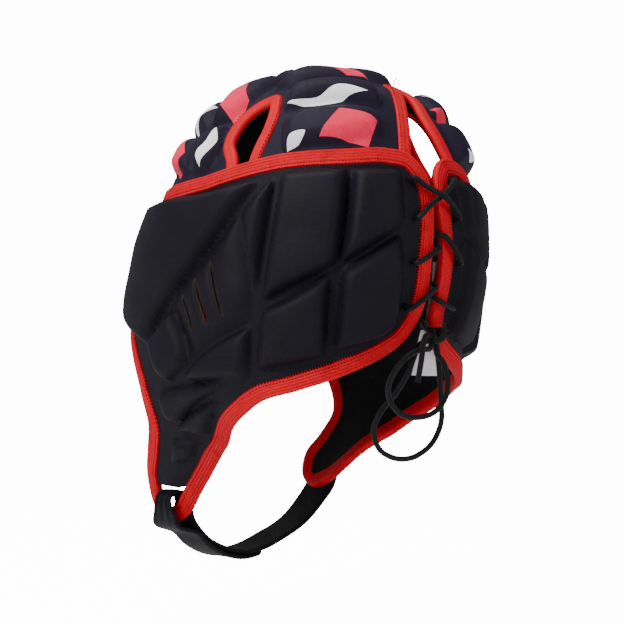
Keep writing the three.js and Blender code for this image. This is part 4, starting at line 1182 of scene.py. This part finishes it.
def build_forehead_seam():
    line = even_steps(np.array(FOREHEAD_LINE), 1.5)
    downwards = np.tile([0.0, -1.0], (len(line), 1))
    pairs = [(beside(line, downwards, w), lift) for w, lift in FOREHEAD_PROFILE]
    piece = band("forehead_seam", pairs, panel_knit, [w for w, _ in FOREHEAD_PROFILE])
    place(piece, "panel")
    lay_row("forehead_seam_stitches", even_steps(line, 2.6), 3.45, 2.0, 0.5, 0.4, stitch_black, "panel")


# Small things: the tape inside the right panel and a loose thread on the rear vent
def build_small_things():
    line = smooth_line([(-2.2, 9), (-2.8, 2), (-4.2, -6), (-6.2, -13)], 20)
    half = 2.2
    profile = [(-half, -0.8), (half, -0.8), (half, -1.4), (-half, -1.4)]
    pairs = [(line_beside(line, w), lift) for w, lift in profile]
    strip = band("inner_grey_tape", pairs, grey_tape, [0, 4, 5, 9])
    place(strip, "label")
    # A red edge shows in the middle ear slit
    ends = np.array([(81.6, -5.0), (79.5, -10.8)])
    edge = smooth_line(head_point(ends, np.array([8.2, 8.0])), 10)
    piece = tube("red_edge_in_slit", edge, 0.25, stitch_red, 8)
    place(piece, "binding")
    root = head_point(np.array([-20.0, 64.0]), 4.0)
    thread = smooth_line([root, root + np.array([0.4, 1.2, 2.2]), root + np.array([-0.8, 2.2, 4.6])], 8)
    piece = tube("loose_thread", thread, 0.28, embroidery, 6)
    place(piece, "vent_binding")


# Floor, light and backdrop
ROOM_LIGHT = 0.3
BACKDROP_LIGHT = 14.0
PAPER_LIGHT = 0.4
FLOOR_DROP = 0.03
FLOOR_RADIUS = 4
LAMPS = [("key_light", (1.5, 0.1, 0.9), 0.6, 30), ("fill_light", (-0.2, 1.6, 0.5), 1.0, 10),
         ("top_light", (0.3, -0.3, 1.5), 0.6, 18)]


def build_stage():
    floor_level = cad_box[0][2] - FLOOR_DROP
    count = 96
    turns = [2 * math.pi * i / count for i in range(count)]
    ring = [(FLOOR_RADIUS * math.cos(t), FLOOR_RADIUS * math.sin(t), floor_level) for t in turns]
    mesh = bpy.data.meshes.new("floor")
    mesh.from_pydata(ring, [], [tuple(range(count))])
    # Matt paper, lifted to white only where the camera sees it
    paper, tree = empty_material("matt_paper_floor")
    seen = add(tree, "ShaderNodeLightPath")
    matt = add(tree, "ShaderNodeBsdfDiffuse", values={"Color": linear("#e8e8ea")})
    lift = add(tree, "ShaderNodeMath", {"operation": "MULTIPLY"}, {1: BACKDROP_LIGHT - PAPER_LIGHT},
               {0: (seen, "Is Camera Ray")})
    glow = add(tree, "ShaderNodeEmission", values={"Color": (1, 1, 1, 1)},
               links={"Strength": (lift, "Value")})
    paper_sum = add(tree, "ShaderNodeAddShader", links={0: (matt, "BSDF"), 1: (glow, "Emission")})
    add(tree, "ShaderNodeOutputMaterial", links={"Surface": (paper_sum, "Shader")})
    mesh.materials.append(paper)
    floor = new_object("floor", mesh)
    world = bpy.data.worlds.new("pale_room")
    world.use_nodes = True
    room = world.node_tree
    sky = room.nodes["Background"]
    sky.inputs["Color"].default_value = (1, 1, 1, 1)
    seen = add(room, "ShaderNodeLightPath")
    span = add(room, "ShaderNodeMapRange", values={"To Min": ROOM_LIGHT, "To Max": BACKDROP_LIGHT},
               links={"Value": (seen, "Is Camera Ray")})
    room.links.new(span.outputs["Result"], sky.inputs["Strength"])
    bpy.context.scene.world = world
    aim = Vector((0, 0, EAR_LEVEL))
    for name, spot, size, power in LAMPS:
        data = bpy.data.lights.new(name, "AREA")
        data.shape = "DISK"
        data.size = size
        data.energy = power
        light = new_object(name, data)
        light.location = spot
        light.rotation_euler = (aim - Vector(spot)).to_track_quat("-Z", "Y").to_euler()


add_camera()
build_lace()
for side_name in SIDES:
    build_panel(side_name)
    build_panel_tape(side_name)
build_crown()
for vent_name in VENTS:
    build_vent_tape(vent_name)
build_strap()
build_label()
build_forehead_seam()
build_small_things()
build_stage()
